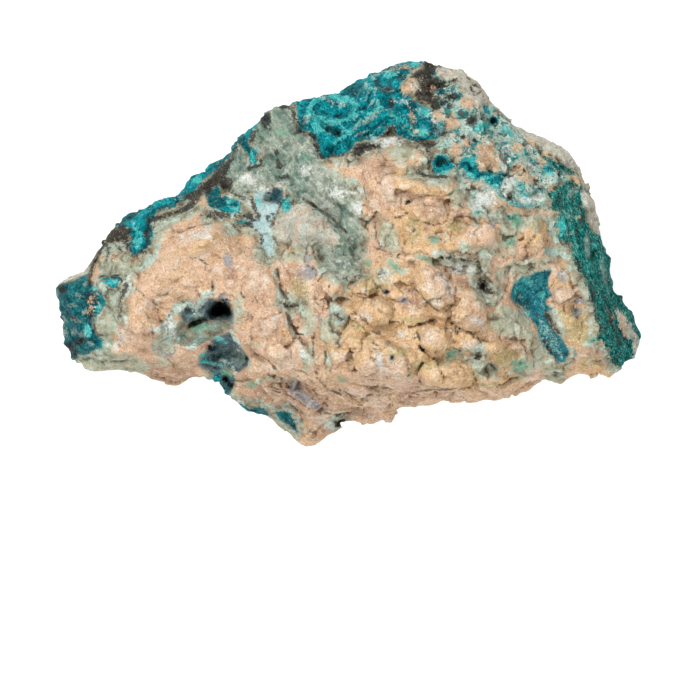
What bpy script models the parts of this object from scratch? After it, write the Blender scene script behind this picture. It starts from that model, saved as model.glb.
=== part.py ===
"""Chrysocolla specimen: a broken piece of tan rock with a blue-green crust on its edges, all one stone.

The stone lies on its back. +X runs along its length, +Y towards the crusted edge and +Z out of its face.
Places on the stone are in millimetres in that frame, and the mesh is made from them in metres.
"""

import bmesh
import bpy
import numpy as np

# Driving dimensions, in millimetres
LENGTH = 68.3
WIDTH = 45.0
THICKNESS = 27.5
REST_CUT = 0.9
TUCK_UNDER = 6.5
WALL_CHIP = 5.0
WALL_BREAK = 1.5
EDGE_ROUND = 3.4
RIM_HEIGHT = 9.6
RIM_RISE_X = 0.03
RIM_RISE_Y = 0.17
RIM_WANDER = 2.4
LUMP_RELIEF = 1.4
LAYER_THICK = 2.6
LAYER_STEP = 0.7
REST_SHARE = 0.45
VOXEL = 0.5
TRIANGLES = 9300
MM = 0.001

# Steps of the first mesh
STEPS_ROUND = 330
FACE_RINGS = 62
WALL_RINGS = 20
BACK_RINGS = 26
CENTRE = (-1.0, -2.0)

LOWER_EDGE = [
    (-34.0, -3.8), (-33.7, -6.5), (-32.9, -8.9), (-32.9, -10.5), (-32.1, -12.3), (-29.9, -13.6),
    (-27.0, -13.6), (-24.7, -14.1), (-22.2, -15.0), (-20.2, -15.3), (-18.2, -14.2), (-15.7, -14.7),
    (-14.4, -16.5), (-12.0, -18.2), (-8.8, -19.2), (-7.2, -21.0), (-4.8, -22.5), (-3.0, -21.7),
    (0.0, -20.0), (1.5, -20.6), (4.7, -19.6), (6.0, -17.7), (9.2, -17.3), (14.5, -17.0), (18.0, -16.8),
    (21.0, -15.7), (22.7, -14.6), (24.8, -14.9), (26.8, -13.7), (30.3, -14.7), (31.7, -13.5),
]
RIGHT_EDGE = [
    (33.7, -11.3), (33.9, -9.6), (33.2, -7.2), (30.8, -4.5), (30.0, -1.3), (29.3, 1.5), (28.6, 5.5),
    (27.2, 8.6), (25.9, 11.2), (24.6, 12.5), (22.7, 13.5), (20.7, 13.9), (18.8, 15.3), (17.0, 17.0),
    (15.0, 19.9), (13.3, 21.2),
]
UPPER_EDGE = [
    (10.7, 21.7), (8.0, 22.4), (5.0, 21.7), (2.5, 20.9), (0.2, 19.8), (-1.0, 18.3), (-3.6, 18.2),
    (-6.2, 17.6), (-9.3, 16.9), (-11.2, 15.2), (-13.2, 13.4), (-14.0, 11.6), (-15.9, 10.3), (-17.1, 9.1),
    (-18.2, 9.0), (-19.3, 7.1), (-22.0, 6.3), (-25.5, 4.5), (-27.8, 2.6), (-29.5, -0.2), (-30.7, -2.2),
    (-33.0, -2.9),
]

# Heights of the face above the surface that the stone rests on, read at these places
FACE_HEIGHTS = [
    (-32.0, -6.0, 13.6), (-31.0, -10.0, 12.6), (-28.5, -4.0, 16.4), (-29.0, -9.0, 14.8),
    (-26.0, -12.0, 13.6), (-24.5, -1.0, 17.5), (-26.0, 1.5, 15.6), (-22.0, -14.0, 9.5),
    (-23.0, -5.0, 19.8), (-24.5, -9.0, 18.0), (-20.0, -1.5, 21.6), (-17.0, 1.0, 22.6),
    (-13.0, -1.0, 22.6), (-10.0, -3.0, 22.6), (-9.5, -7.0, 22.2), (-8.5, -11.0, 20.8),
    (-6.5, -13.0, 18.8), (-20.5, -9.5, 15.5), (-17.0, -13.0, 12.5), (-21.0, -12.5, 13.0),
    (-13.0, -16.0, 10.5), (-9.0, -17.0, 11.5), (-5.0, -19.5, 10.0), (-1.0, -18.2, 13.0),
    (-20.0, 4.0, 16.0), (-15.0, 7.0, 16.5), (-12.0, 12.0, 15.5), (-8.0, 14.0, 17.0),
    (-9.0, 6.0, 18.2), (-10.0, 1.5, 20.0), (-4.0, 9.0, 20.0), (-2.0, 5.0, 21.6),
    (-5.0, 2.5, 22.6), (0.0, 0.0, 22.4), (-2.0, 16.0, 17.0), (2.0, 15.0, 18.4),
    (6.0, 16.0, 19.0), (5.0, 20.0, 17.8), (8.0, 19.0, 17.8), (-2.0, 12.0, 19.0),
    (12.0, 18.0, 18.0), (14.0, 14.0, 19.2), (10.0, 11.0, 21.4), (12.0, 20.5, 17.2),
    (3.0, 8.0, 23.6), (8.0, 7.0, 24.8), (7.0, 3.0, 25.0), (2.0, -2.0, 24.4), (10.0, -4.0, 26.2),
    (4.0, -8.0, 25.2), (-3.0, -6.0, 23.2), (3.0, -13.0, 24.0), (-2.0, -10.0, 23.0),
    (11.0, -11.0, 24.0), (14.0, -6.0, 24.8), (11.0, -15.0, 21.0), (6.0, -16.2, 19.0),
    (0.0, -15.5, 22.0), (16.0, -13.0, 20.5), (18.0, -15.6, 15.0), (15.0, 2.0, 23.4),
    (15.0, 7.0, 22.0), (18.0, 11.0, 19.0), (20.0, 7.0, 20.0), (21.0, 2.0, 21.0),
    (22.0, 11.0, 16.5), (18.0, -2.0, 22.0), (20.0, -6.0, 19.0), (23.0, -11.0, 16.4),
    (25.0, -5.0, 19.8), (27.0, -9.0, 17.6), (28.0, -12.0, 15.8), (26.0, 2.0, 17.0),
    (27.5, 6.0, 16.2), (29.0, -4.0, 16.6), (31.5, -9.0, 15.2), (26.0, 9.0, 16.4),
    (20.0, -11.0, 18.5), (22.0, -14.5, 12.5), (4.0, -18.0, 11.5),
]

# Lumps of matrix: x, y, half length, half width, turn in degrees, rise
LUMPS = [
    (9.8, -4.3, 3.0, 2.4, -35, 1.9), (14.0, -6.5, 2.4, 2.2, 20, 1.5), (10.2, -10.2, 2.2, 1.9, 0, 1.3),
    (13.8, -10.7, 1.9, 1.4, 10, 1.1), (1.8, -4.0, 1.9, 1.2, 5, 1.1), (2.2, -6.8, 2.3, 1.6, -8, 1.5),
    (-0.3, -6.8, 1.1, 1.3, 0, 0.9), (-2.3, -3.8, 1.5, 1.5, 0, 1.0), (-2.4, -9.5, 1.5, 1.3, 0, 0.8),
    (0.3, -10.3, 1.6, 1.5, 0, 1.2), (-1.0, -12.0, 1.4, 1.2, 0, 0.9), (-3.5, -12.2, 1.3, 1.0, 30, 0.8),
    (3.9, -12.6, 3.7, 2.7, -20, 2.0), (-1.5, -14.6, 2.6, 1.5, 8, 1.4), (11.2, -14.2, 3.4, 1.7, 3, 1.5),
    (16.5, -12.0, 1.7, 1.5, 0, 0.9), (16.0, -14.8, 1.6, 1.2, 0, 0.8), (14.8, 2.0, 2.5, 1.7, 15, 1.3),
    (4.6, 1.6, 1.3, 2.3, 20, 0.7), (8.5, 7.4, 4.2, 1.5, -8, 1.3), (9.0, 4.2, 2.6, 1.6, 10, 0.8),
    (4.3, 7.4, 0.9, 2.0, 12, 1.2), (8.0, 10.6, 1.5, 1.5, 0, 1.0), (21.3, 2.2, 2.0, 2.2, 0, 1.0),
    (24.7, -5.0, 1.6, 1.8, 0, 1.0), (19.8, 9.8, 1.0, 1.1, 0, 0.6), (15.8, 10.8, 1.2, 1.8, 10, 0.6),
    (-17.5, 1.4, 3.6, 2.0, 12, 1.3), (-22.5, -3.4, 3.0, 2.2, 40, 1.1), (-24.6, -8.6, 2.4, 2.6, 70, 1.0),
    (-12.6, -0.6, 2.6, 1.9, -10, 0.8), (-10.3, -3.6, 2.0, 2.4, 80, 0.9), (-9.3, -8.0, 2.4, 2.0, -60, 0.9),
    (-8.2, -12.0, 2.6, 1.6, -30, 1.0), (-23.0, -13.4, 3.0, 1.5, -8, 1.1), (-5.0, 2.8, 3.0, 1.6, -25, 0.8),
    (26.2, -8.6, 1.4, 2.2, 15, 0.9), (28.0, -12.0, 1.4, 1.8, 0, 0.8),
]

# Blunt knobs of the crust along the upper edge and in the blue-green patch, same columns
KNOBS = [
    (-24.4, 2.4, 1.7, 1.9, 0, 1.0), (-27.2, -3.4, 1.4, 1.0, 0, 0.6), (-21.5, 5.4, 1.5, 0.8, 15, 0.8),
    (-18.0, 8.0, 1.0, 1.2, 0, 0.9), (-15.2, 9.6, 1.0, 1.0, 0, 0.7), (-12.4, 13.6, 1.2, 0.9, 40, 0.8),
    (-9.0, 16.2, 1.7, 0.8, 10, 0.6), (0.3, 18.9, 1.4, 1.2, 0, 1.2), (3.2, 19.6, 1.6, 1.1, 20, 1.0),
    (6.0, 20.8, 1.3, 1.0, 10, 0.9), (8.6, 21.2, 1.3, 0.9, 0, 0.9), (2.2, 16.6, 1.9, 1.1, 20, 0.8),
    (6.6, 15.2, 1.6, 1.0, -10, 0.9), (8.6, 14.2, 1.3, 0.8, -10, 0.7), (-4.6, 16.0, 1.2, 1.0, 0, 0.7),
    (12.6, 20.6, 1.7, 1.1, -15, 1.0), (15.4, 18.2, 1.7, 1.2, -50, 1.0), (20.6, 12.9, 1.4, 0.9, 0, 0.7),
    (24.6, 11.3, 1.4, 0.9, -30, 1.0), (27.6, 6.0, 0.8, 1.8, -10, 0.9), (-31.8, -5.0, 1.4, 1.5, 0, 0.8),
    (-31.5, -9.2, 1.2, 1.8, 10, 0.8),
]

# Holes and pockets: x, y, half length, half width, turn in degrees, depth
HOLES = [
    (-14.9, -6.5, 1.25, 1.1, 0, 3.2), (-16.2, -11.2, 1.2, 0.8, -20, 1.6), (-14.3, -15.0, 0.8, 0.7, 0, 1.6),
    (-22.5, -10.8, 0.6, 1.2, 0, 1.2), (-9.0, 6.4, 1.1, 0.8, -20, 1.6), (-2.2, 16.5, 2.8, 1.7, 0, 1.3),
    (-1.9, 14.0, 1.0, 0.7, -15, 1.9), (5.0, 14.0, 0.6, 0.8, 0, 1.2), (10.8, 10.1, 1.5, 1.3, 0, 2.0),
    (16.8, 15.2, 0.6, 0.6, 0, 1.6), (14.6, 13.0, 0.6, 0.6, 0, 1.4), (15.4, -4.0, 0.8, 1.2, 20, 1.6),
    (-7.3, -6.0, 1.2, 0.6, 10, 1.5), (-3.6, 0.0, 0.8, 1.6, 25, 1.4), (-0.6, -20.0, 0.9, 0.7, 0, 1.5),
    (4.1, -4.9, 1.0, 0.5, -30, 0.8), (8.7, -7.6, 1.5, 0.5, -10, 0.9), (5.6, -10.2, 0.9, 0.5, 0, 0.6),
    (12.6, -1.9, 1.9, 0.9, -10, 0.9), (20.4, 5.6, 1.3, 0.5, -40, 0.8), (-8.9, 3.8, 0.6, 0.5, 0, 0.8),
]

VUG_UPPER = [
    (-19.5, -7.0), (-18.7, -6.0), (-17.0, -6.0), (-16.5, -5.2), (-13.8, -5.5), (-13.4, -7.0),
    (-13.3, -8.2), (-17.0, -8.0), (-19.0, -8.5),
]
VUG_LOWER = [
    (-13.6, -9.3), (-15.5, -9.7), (-15.7, -10.5), (-17.5, -12.0), (-17.2, -13.0), (-15.0, -13.0),
    (-12.5, -14.0), (-11.5, -13.0), (-11.6, -12.2), (-12.8, -10.7),
]
BLUE_STRIP = [
    (18.6, -4.8), (20.0, -3.1), (23.4, -2.2), (23.2, -5.1), (22.8, -7.0), (24.0, -9.0), (25.5, -11.7),
    (25.0, -13.1), (22.2, -10.2), (21.2, -7.8), (18.9, -5.6),
]
# Outline, depth and softness of each sunk place
BASINS = [(VUG_UPPER, 5.6, 0.9), (VUG_LOWER, 4.6, 1.3), (BLUE_STRIP, 1.1, 0.8)]

# Lines with a raised left side, seen along the line: points, height, reach
LEDGES = [
    ([(-8.2, -1.6), (-8.0, -3.5), (-7.2, -5.6), (-6.6, -8.0), (-4.9, -10.8), (-4.4, -12.6)], -1.5, 2.2),
    ([(-5.2, 6.0), (-2.8, 4.3), (-0.5, 2.5), (0.4, -0.6), (-0.2, -2.6)], -1.1, 2.4),
    ([(-12.0, -12.8), (-9.0, -14.2), (-6.0, -14.3), (-3.7, -14.8), (-2.5, -16.0), (0.0, -16.8),
      (3.0, -17.0), (6.5, -16.4), (14.3, -15.9), (19.0, -14.4)], 1.6, 2.6),
    ([(-3.4, 11.6), (0.3, 11.2), (3.0, 12.4), (6.6, 12.4), (9.6, 12.6), (11.4, 13.8)], -1.0, 1.8),
    ([(3.4, 9.2), (3.2, 6.0), (2.6, 3.6), (2.8, 0.8)], -1.2, 2.0),
    ([(12.8, 8.6), (16.5, 5.6), (21.0, 4.4)], 0.9, 1.8),
    ([(7.3, -1.4), (10.7, -0.8), (15.0, -1.2), (16.6, -4.4), (16.4, -8.6), (19.0, -10.4)], 1.1, 2.0),
]

# Long narrow ridges: points, height, half width
RIDGES = [
    ([(24.0, 11.6), (25.4, 8.0), (26.2, 4.0), (27.2, 0.0), (28.8, -4.0), (30.2, -8.0), (31.4, -12.0)], 1.0, 0.8),
    ([(26.6, 8.6), (27.6, 4.6), (28.6, 1.0), (29.8, -3.6), (31.6, -7.2), (32.9, -10.6)], 0.9, 0.8),
    ([(22.9, 10.0), (23.6, 6.0), (25.0, 2.0), (26.4, -2.0), (28.2, -6.0), (29.6, -10.6)], 0.7, 0.7),
    ([(-22.6, 4.4), (-19.0, 5.4), (-16.6, 7.6), (-14.6, 10.6), (-13.4, 12.6)], -0.9, 0.8),
    ([(-29.4, -1.6), (-28.0, 1.4), (-26.4, 3.2)], -0.7, 0.6),
    ([(-20.3, -8.6), (-17.0, -8.9), (-13.6, -8.8)], 0.9, 0.8),
    ([(-9.6, -16.0), (-5.0, -17.6), (-1.5, -19.0), (2.4, -18.8)], 0.9, 0.8),
    ([(-11.6, -15.2), (-6.0, -16.2), (-2.0, -17.4)], 0.7, 0.6),
    ([(18.0, -8.2), (21.2, -9.4), (24.4, -13.8)], 0.7, 0.7),
    ([(-4.6, 12.0), (-4.0, 9.0), (-2.0, 7.0), (0.4, 5.0)], 0.6, 0.9),
]

STONE_COLOUR = (0.62, 0.45, 0.31, 1.0)
STONE_ROUGHNESS = 0.8


def clear_scene():
    for item in list(bpy.data.objects):
        bpy.data.objects.remove(item, do_unlink=True)


def smooth_step(low, high, value):
    share = np.clip((value - low) / (high - low), 0.0, 1.0)
    return share * share * (3.0 - 2.0 * share)


def hash_values(cells, seed):
    """One number from 0 to 1 for each row of whole numbers, the same on every run."""
    mixed = cells.astype(np.int64) @ np.array([73856093, 19349663, 83492791][: cells.shape[1]])
    mixed = (mixed + seed * 2654435761) & 0xFFFFFFFF
    mixed = ((mixed >> 16) ^ mixed) * 0x45D9F3B & 0xFFFFFFFF
    mixed = ((mixed >> 16) ^ mixed) * 0x45D9F3B & 0xFFFFFFFF
    mixed = (mixed >> 16) ^ mixed
    return (mixed & 0xFFFFFF) / float(0xFFFFFF)


def noise(points, size, seed):
    """Smooth noise from -1 to 1 with waves of this size, for points in the plane or in space."""
    scaled = points / size
    base = np.floor(scaled)
    share = scaled - base
    share = share * share * (3.0 - 2.0 * share)
    total = np.zeros(len(points))
    for corner in np.ndindex(*(2,) * points.shape[1]):
        weight = np.prod(np.where(corner, share, 1.0 - share), axis=1)
        total += weight * hash_values(base + corner, seed)
    return 2.0 * total - 1.0


def chips(points, size, seed, tilt):
    """Heights of flat chipped facets: each point takes the tilted plane of the nearest scattered site."""
    base = np.floor(points / size)
    nearest = np.full(len(points), np.inf)
    height = np.zeros(len(points))
    for step in np.ndindex(*(3,) * points.shape[1]):
        cell = base + (np.array(step) - 1)
        spots = [hash_values(cell, seed + axis) for axis in range(points.shape[1])]
        away = points - (cell + np.stack(spots, axis=1)) * size
        distance = np.sum(away * away, axis=1)
        slopes = [hash_values(cell, seed + 11 + axis) * 2.0 - 1.0 for axis in range(points.shape[1])]
        plane = tilt * np.sum(away * np.stack(slopes, axis=1), axis=1)
        plane += tilt * size * 0.5 * (hash_values(cell, seed + 29) * 2.0 - 1.0)
        closer = distance < nearest
        height = np.where(closer, plane, height)
        nearest = np.where(closer, distance, nearest)
    return height


def line_reading(x, y, points):
    """Distance to a bent line, positive on its left, and how far inside the line's ends a place lies."""
    best = np.full(x.shape, np.inf)
    side = np.zeros(x.shape)
    for (ax, ay), (bx, by) in zip(points, points[1:]):
        length = np.hypot(bx - ax, by - ay)
        along = ((x - ax) * (bx - ax) + (y - ay) * (by - ay)) / length**2
        along = np.clip(along, 0.0, 1.0)
        distance = np.hypot(x - ax - along * (bx - ax), y - ay - along * (by - ay))
        left = ((bx - ax) * (y - ay) - (by - ay) * (x - ax)) / length
        closer = distance < best - 1e-9
        side = np.where(closer, np.sign(left), side)
        best = np.minimum(best, distance)
    ends = np.minimum(
        np.hypot(x - points[0][0], y - points[0][1]), np.hypot(x - points[-1][0], y - points[-1][1])
    )
    return best * side, best, ends


def depth_inside(x, y, outline):
    """Distance to a closed outline, positive inside it."""
    closed = outline + outline[:1]
    best = line_reading(x, y, closed)[1]
    inside = np.zeros(x.shape, dtype=bool)
    for (ax, ay), (bx, by) in zip(closed, closed[1:]):
        crosses = (ay > y) != (by > y)
        where = ax + (y - ay) * (bx - ax) / (by - ay if by != ay else 1e-9)
        inside ^= crosses & (x < where)
    return np.where(inside, best, -best)


def ellipse_reading(x, y, spot):
    turn = np.radians(spot[4])
    across = (x - spot[0]) * np.cos(turn) + (y - spot[1]) * np.sin(turn)
    along = (y - spot[1]) * np.cos(turn) - (x - spot[0]) * np.sin(turn)
    return np.hypot(across / spot[2], along / spot[3])


def face_surface(x, y):
    """The broad form of the face, a smooth surface through the heights read on it."""
    spots = np.array(FACE_HEIGHTS)
    gaps = np.hypot(spots[:, None, 0] - spots[None, :, 0], spots[:, None, 1] - spots[None, :, 1])
    mean = spots[:, 2].mean()
    weights = np.linalg.solve(np.sqrt(gaps**2 + 1.0) + 0.4 * np.eye(len(spots)), spots[:, 2] - mean)
    away = np.hypot(x[:, None] - spots[None, :, 0], y[:, None] - spots[None, :, 1])
    return mean + np.sqrt(away**2 + 1.0) @ weights


def rim_height(x, y):
    """Height of the stone's widest line, which wanders up and down along the edge."""
    flat = np.stack([x, y], axis=1)
    wander = noise(flat, 8.0, 31) + 0.5 * noise(flat, 3.5, 32)
    return RIM_HEIGHT + RIM_RISE_X * x + RIM_RISE_Y * y + RIM_WANDER * wander


def face_height(x, y, outline):
    """Height of the face at each place, with its lumps, knobs, ledges, ridges, holes and vug."""
    flat = np.stack([x, y], axis=1)
    wx = x + 0.45 * noise(flat, 2.2, 3) + 0.2 * noise(flat, 0.9, 5)
    wy = y + 0.45 * noise(flat, 2.2, 4) + 0.2 * noise(flat, 0.9, 6)
    height = face_surface(x, y)
    crown = np.zeros(x.shape)
    for spot in LUMPS:
        crown = np.maximum(crown, LUMP_RELIEF * spot[5] * (1.0 - ellipse_reading(wx, wy, spot) ** 3))
    knob = np.zeros(x.shape)
    for spot in KNOBS:
        knob = np.maximum(knob, spot[5] * np.sqrt(np.clip(1.0 - ellipse_reading(wx, wy, spot) ** 2, 0, 1)))
    height += np.maximum(crown, knob)
    for points, rise, reach in LEDGES:
        side, distance, ends = line_reading(wx, wy, points)
        fade = np.exp(-distance / reach) * smooth_step(0.0, 1.5, ends)
        height += rise * smooth_step(-0.3, 0.3, side) * fade
    for points, rise, half_width in RIDGES:
        distance = line_reading(wx, wy, points)[1]
        height += rise * np.exp(-((distance / half_width) ** 2))
    for basin, depth, softness in BASINS:
        height -= depth * smooth_step(-0.3, softness, depth_inside(wx, wy, basin))
    for spot in HOLES:
        height -= spot[5] * smooth_step(1.15, 0.6, ellipse_reading(wx, wy, spot))
    height += chips(flat, 3.1, 40, 0.24) + 0.25 * noise(flat, 1.6, 8)
    inset = np.clip(depth_inside(x, y, outline) / EDGE_ROUND, 0.0, 1.0)
    rim = rim_height(x, y)
    return rim + (height - rim) * np.sqrt(1.0 - (1.0 - inset) ** 2)


def even_outline(points, count):
    """The outline as this many points an even distance apart."""
    corners = np.array(points + points[:1])
    lengths = np.concatenate([[0.0], np.cumsum(np.hypot(*np.diff(corners, axis=0).T))])
    stations = np.linspace(0.0, lengths[-1], count, endpoint=False)
    return np.stack([np.interp(stations, lengths, corners[:, axis]) for axis in range(2)], axis=1)


def wall_break(places):
    """How far the steep sides are broken in at each place, nothing in some and a deep chip in others."""
    depth = 0.4 + chips(places, WALL_CHIP, 51, 0.34) + 0.5 * noise(places, 2.6, 54)
    return WALL_BREAK * np.clip(depth, 0.0, 1.7)


def stone_rings(outline):
    """Rings of points from the middle of the face, over the edge, down the wall and to the middle of the back."""
    middle = np.array(CENTRE)
    edge = even_outline(outline, STEPS_ROUND)
    reach = edge - middle
    inward = reach / np.hypot(*reach.T)[:, None]
    rim = rim_height(*edge.T)
    rings = []
    for step in range(1, FACE_RINGS + 1):
        places = middle + reach * (step / FACE_RINGS)
        face = np.column_stack([places, face_height(*places.T, outline)])
        inset = depth_inside(*places.T, outline)
        steep = smooth_step(0.0, 1.0, inset) * smooth_step(7.0, 4.0, inset)
        face[:, :2] -= inward * (wall_break(face) * steep)[:, None]
        rings.append(face)
    for step in range(1, WALL_RINGS + 1):
        share = step / WALL_RINGS
        heights = rim + (REST_CUT + 1.4 - rim) * share
        wall = np.column_stack([edge, heights])
        layers = LAYER_STEP * np.abs(2.0 * ((heights + noise(wall, 6.0, 17)) / LAYER_THICK % 1.0) - 1.0)
        inset = TUCK_UNDER * share**2.3 + (wall_break(wall) + layers) * smooth_step(0.0, 0.2, share)
        rings.append(np.column_stack([edge - inward * inset[:, None], heights]))
    last = rings[-1][:, :2]
    for step in range(1, BACK_RINGS):
        share = 1.0 - step / BACK_RINGS
        places = middle + (last - middle) * share
        rough = 0.9 * noise(places, 6.0, 21) + chips(places, 4.0, 24, 0.2)
        outward = smooth_step(REST_SHARE, 1.0, share)
        heights = (REST_CUT + 1.4) * outward + rough * smooth_step(REST_SHARE, 0.7, share) * (1.2 - share)
        rings.append(np.column_stack([places, heights]))
    return rings


def stone_mesh():
    outline = LOWER_EDGE + RIGHT_EDGE + UPPER_EDGE
    rings = stone_rings(outline)
    middle = np.array(CENTRE)
    top = face_height(middle[:1], middle[1:], outline)[0]
    points = np.vstack([[[*CENTRE, top]], *rings, [[*CENTRE, 0.0]]])
    low, high = points.min(axis=0), points.max(axis=0)
    size = np.array([LENGTH, WIDTH, THICKNESS + REST_CUT])
    shift = np.array([*(low + high)[:2] / 2.0, low[2]])
    points = (points - shift) * size / (high - low) - np.array([0.0, 0.0, REST_CUT])
    count = STEPS_ROUND
    faces = []
    for step in range(count):
        after = (step + 1) % count
        faces.append((0, 1 + step, 1 + after))
        for ring in range(len(rings) - 1):
            inner = 1 + ring * count
            outer = inner + count
            faces.append((inner + step, outer + step, outer + after, inner + after))
        last = 1 + (len(rings) - 1) * count
        faces.append((last + after, last + step, len(points) - 1))
    mesh = bpy.data.meshes.new("specimen")
    mesh.from_pydata((points * MM).tolist(), [], faces)
    return mesh


def rest_cutter():
    """A block under the stone that takes off its lowest parts, which leaves the flat that it rests on."""
    mesh = bpy.data.meshes.new("rest_cutter")
    block = bmesh.new()
    bmesh.ops.create_cube(block, size=1.0)
    bmesh.ops.scale(block, vec=(LENGTH * 2 * MM, WIDTH * 2 * MM, 10 * MM), verts=block.verts)
    bmesh.ops.translate(block, vec=(0.0, 0.0, -5 * MM), verts=block.verts)
    block.to_mesh(mesh)
    block.free()
    cutter = bpy.data.objects.new("rest_cutter", mesh)
    cutter.hide_render = True
    cutter.display_type = "WIRE"
    bpy.context.scene.collection.objects.link(cutter)
    return cutter


def stone_material():
    material = bpy.data.materials.new("stone")
    material.use_nodes = True
    shader = material.node_tree.nodes["Principled BSDF"]
    shader.inputs["Base Color"].default_value = STONE_COLOUR
    shader.inputs["Roughness"].default_value = STONE_ROUGHNESS
    shader.inputs["Metallic"].default_value = 0.0
    return material


def centre_stone(specimen):
    """Moves the mesh so that the finished stone's box stands centred over the origin."""
    graph = bpy.context.evaluated_depsgraph_get()
    done = specimen.evaluated_get(graph).to_mesh()
    places = np.empty(len(done.vertices) * 3, dtype=np.float32)
    done.vertices.foreach_get("co", places)
    places = places.reshape(-1, 3)
    middle = (places.min(axis=0) + places.max(axis=0)) / 2.0
    specimen.evaluated_get(graph).to_mesh_clear()
    specimen.location = (-middle[0], -middle[1], 0.0)


def build_specimen():
    specimen = bpy.data.objects.new("specimen", stone_mesh())
    bpy.context.scene.collection.objects.link(specimen)
    specimen.data.materials.append(stone_material())
    remesh = specimen.modifiers.new("even_mesh", "REMESH")
    remesh.mode = "VOXEL"
    remesh.voxel_size = VOXEL * MM
    fewer = specimen.modifiers.new("fewer_triangles", "DECIMATE")
    bpy.context.view_layer.update()
    graph = bpy.context.evaluated_depsgraph_get()
    fewer.show_viewport = False
    fewer.show_render = False
    graph.update()
    dense = specimen.evaluated_get(graph).to_mesh()
    triangles = sum(len(face.vertices) - 2 for face in dense.polygons)
    fewer.show_viewport = True
    fewer.show_render = True
    fewer.ratio = TRIANGLES / triangles
    cut = specimen.modifiers.new("rest_flat", "BOOLEAN")
    cut.operation = "DIFFERENCE"
    cut.solver = "EXACT"
    cut.object = rest_cutter()
    bpy.context.view_layer.update()
    centre_stone(specimen)
    return specimen


clear_scene()
build_specimen()
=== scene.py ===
"""The finish of the chrysocolla specimen: its fine surface, its colours, and the plain stage that it lies on.

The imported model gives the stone's form. This script copies that form at a fine resolution, adds the relief
that the hand lens shows, and works out where each mineral lies. Places are in millimetres in the stone's own
frame: +X along the stone, +Y towards the crusted edge, +Z up out of its face.
"""

import bpy
import numpy as np
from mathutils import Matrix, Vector
from mathutils.bvhtree import BVHTree
from mathutils.kdtree import KDTree


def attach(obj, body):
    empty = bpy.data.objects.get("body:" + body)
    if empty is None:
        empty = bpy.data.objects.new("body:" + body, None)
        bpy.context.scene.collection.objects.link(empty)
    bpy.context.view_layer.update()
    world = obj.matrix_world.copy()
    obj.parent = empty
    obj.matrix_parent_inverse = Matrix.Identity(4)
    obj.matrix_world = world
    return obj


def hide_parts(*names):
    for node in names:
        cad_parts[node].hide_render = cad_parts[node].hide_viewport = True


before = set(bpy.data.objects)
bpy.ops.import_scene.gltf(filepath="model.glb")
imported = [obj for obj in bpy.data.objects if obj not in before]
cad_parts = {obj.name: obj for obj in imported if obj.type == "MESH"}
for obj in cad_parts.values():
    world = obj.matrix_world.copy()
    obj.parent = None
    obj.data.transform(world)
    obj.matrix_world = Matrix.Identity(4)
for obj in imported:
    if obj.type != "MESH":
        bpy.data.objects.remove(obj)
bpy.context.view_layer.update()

MM = 0.001
FORM_VOXEL = 0.34
FINE_VOXEL = 0.235
MOST_TRIANGLES = 190000
FAR_OUTSIDE = -9.0  # depth of a place that a mineral doesn't come near
FIELD_LIMIT = 1.5  # fields are kept within this many millimetres of their edge
SIDE_START = 0.4  # places this far under the face's outline belong to the sides
CRACK_DEPTH = 0.7
STREAK_TURN = -52.0  # degrees, of the quartz's streaks
FIBRE_TURN = -72.0  # degrees, of the fibres in the right band

# Outlines of the minerals on the face
LEFT_END = [
    (-36, -2.4), (-33.4, -3.5), (-32.0, -3.2), (-31.0, -2.7), (-30.3, -2.4), (-30.0, -3.2), (-29.4, -4.2),
    (-28.4, -4.6), (-28.2, -5.8), (-28.6, -6.8), (-29.3, -7.2), (-29.4, -8.6), (-29.0, -9.6), (-28.5, -10.2),
    (-28.6, -11.1), (-29.8, -11.5), (-30.6, -11.9), (-31.4, -11.8), (-32.0, -12.6), (-36, -13.4),
]
LEFT_WEDGE = [
    (-28.4, 2.4), (-27.6, 2.9), (-26.6, 3.0), (-25.6, 2.8), (-25.4, 1.6), (-25.6, 0.6), (-25.0, -0.6),
    (-24.3, -0.3), (-23.5, 0.0), (-22.8, 0.9), (-22.6, 2.4), (-22.9, 3.4), (-22.2, 4.4), (-22, 7), (-26, 6),
    (-29, 4),
]
TOP_STRIP = [
    (-24, 4.2), (-22.4, 4.6), (-20.6, 5.1), (-19.4, 5.7), (-18.6, 6.5), (-17.7, 7.1), (-17.2, 8.2),
    (-16.2, 8.8), (-15.1, 9.6), (-14.5, 10.4), (-13.8, 11.0), (-13.4, 11.8), (-12.9, 12.6), (-12.1, 13.1),
    (-11.4, 13.7), (-10.8, 14.7), (-10.4, 15.4), (-9.9, 16.2), (-8.8, 16.7), (-7.6, 17.0), (-6.2, 17.3),
    (-6.5, 19), (-12, 18), (-17, 13), (-24, 8),
]
TOP_PATCH = [
    (-6.2, 17.6), (-6.0, 16.4), (-5.9, 15.0), (-5.8, 14.1), (-4.8, 13.8), (-4.1, 13.3), (-3.7, 12.4),
    (-3.3, 11.4), (-3.0, 10.6), (-2.2, 10.9), (-0.9, 11.2), (0.0, 11.5), (0.5, 12.1), (0.9, 12.7),
    (2.2, 12.9), (3.3, 13.1), (4.1, 13.8), (4.6, 14.6), (5.3, 14.7), (5.4, 13.5), (6.2, 13.1), (7.0, 12.7),
    (8.4, 12.9), (9.8, 12.9), (10.9, 13.4), (11.4, 14.1), (11.2, 14.8), (10.3, 15.1), (9.9, 16.0),
    (9.2, 16.9), (8.2, 17.1), (7.5, 17.6), (7.2, 18.2), (6.3, 18.6), (6.0, 19.4), (6.6, 19.9), (6.9, 20.6),
    (7.5, 21.1), (8.3, 21.6), (8.8, 22.2), (8.6, 24), (2, 24), (-2, 20.5), (-6.5, 19),
]
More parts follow.
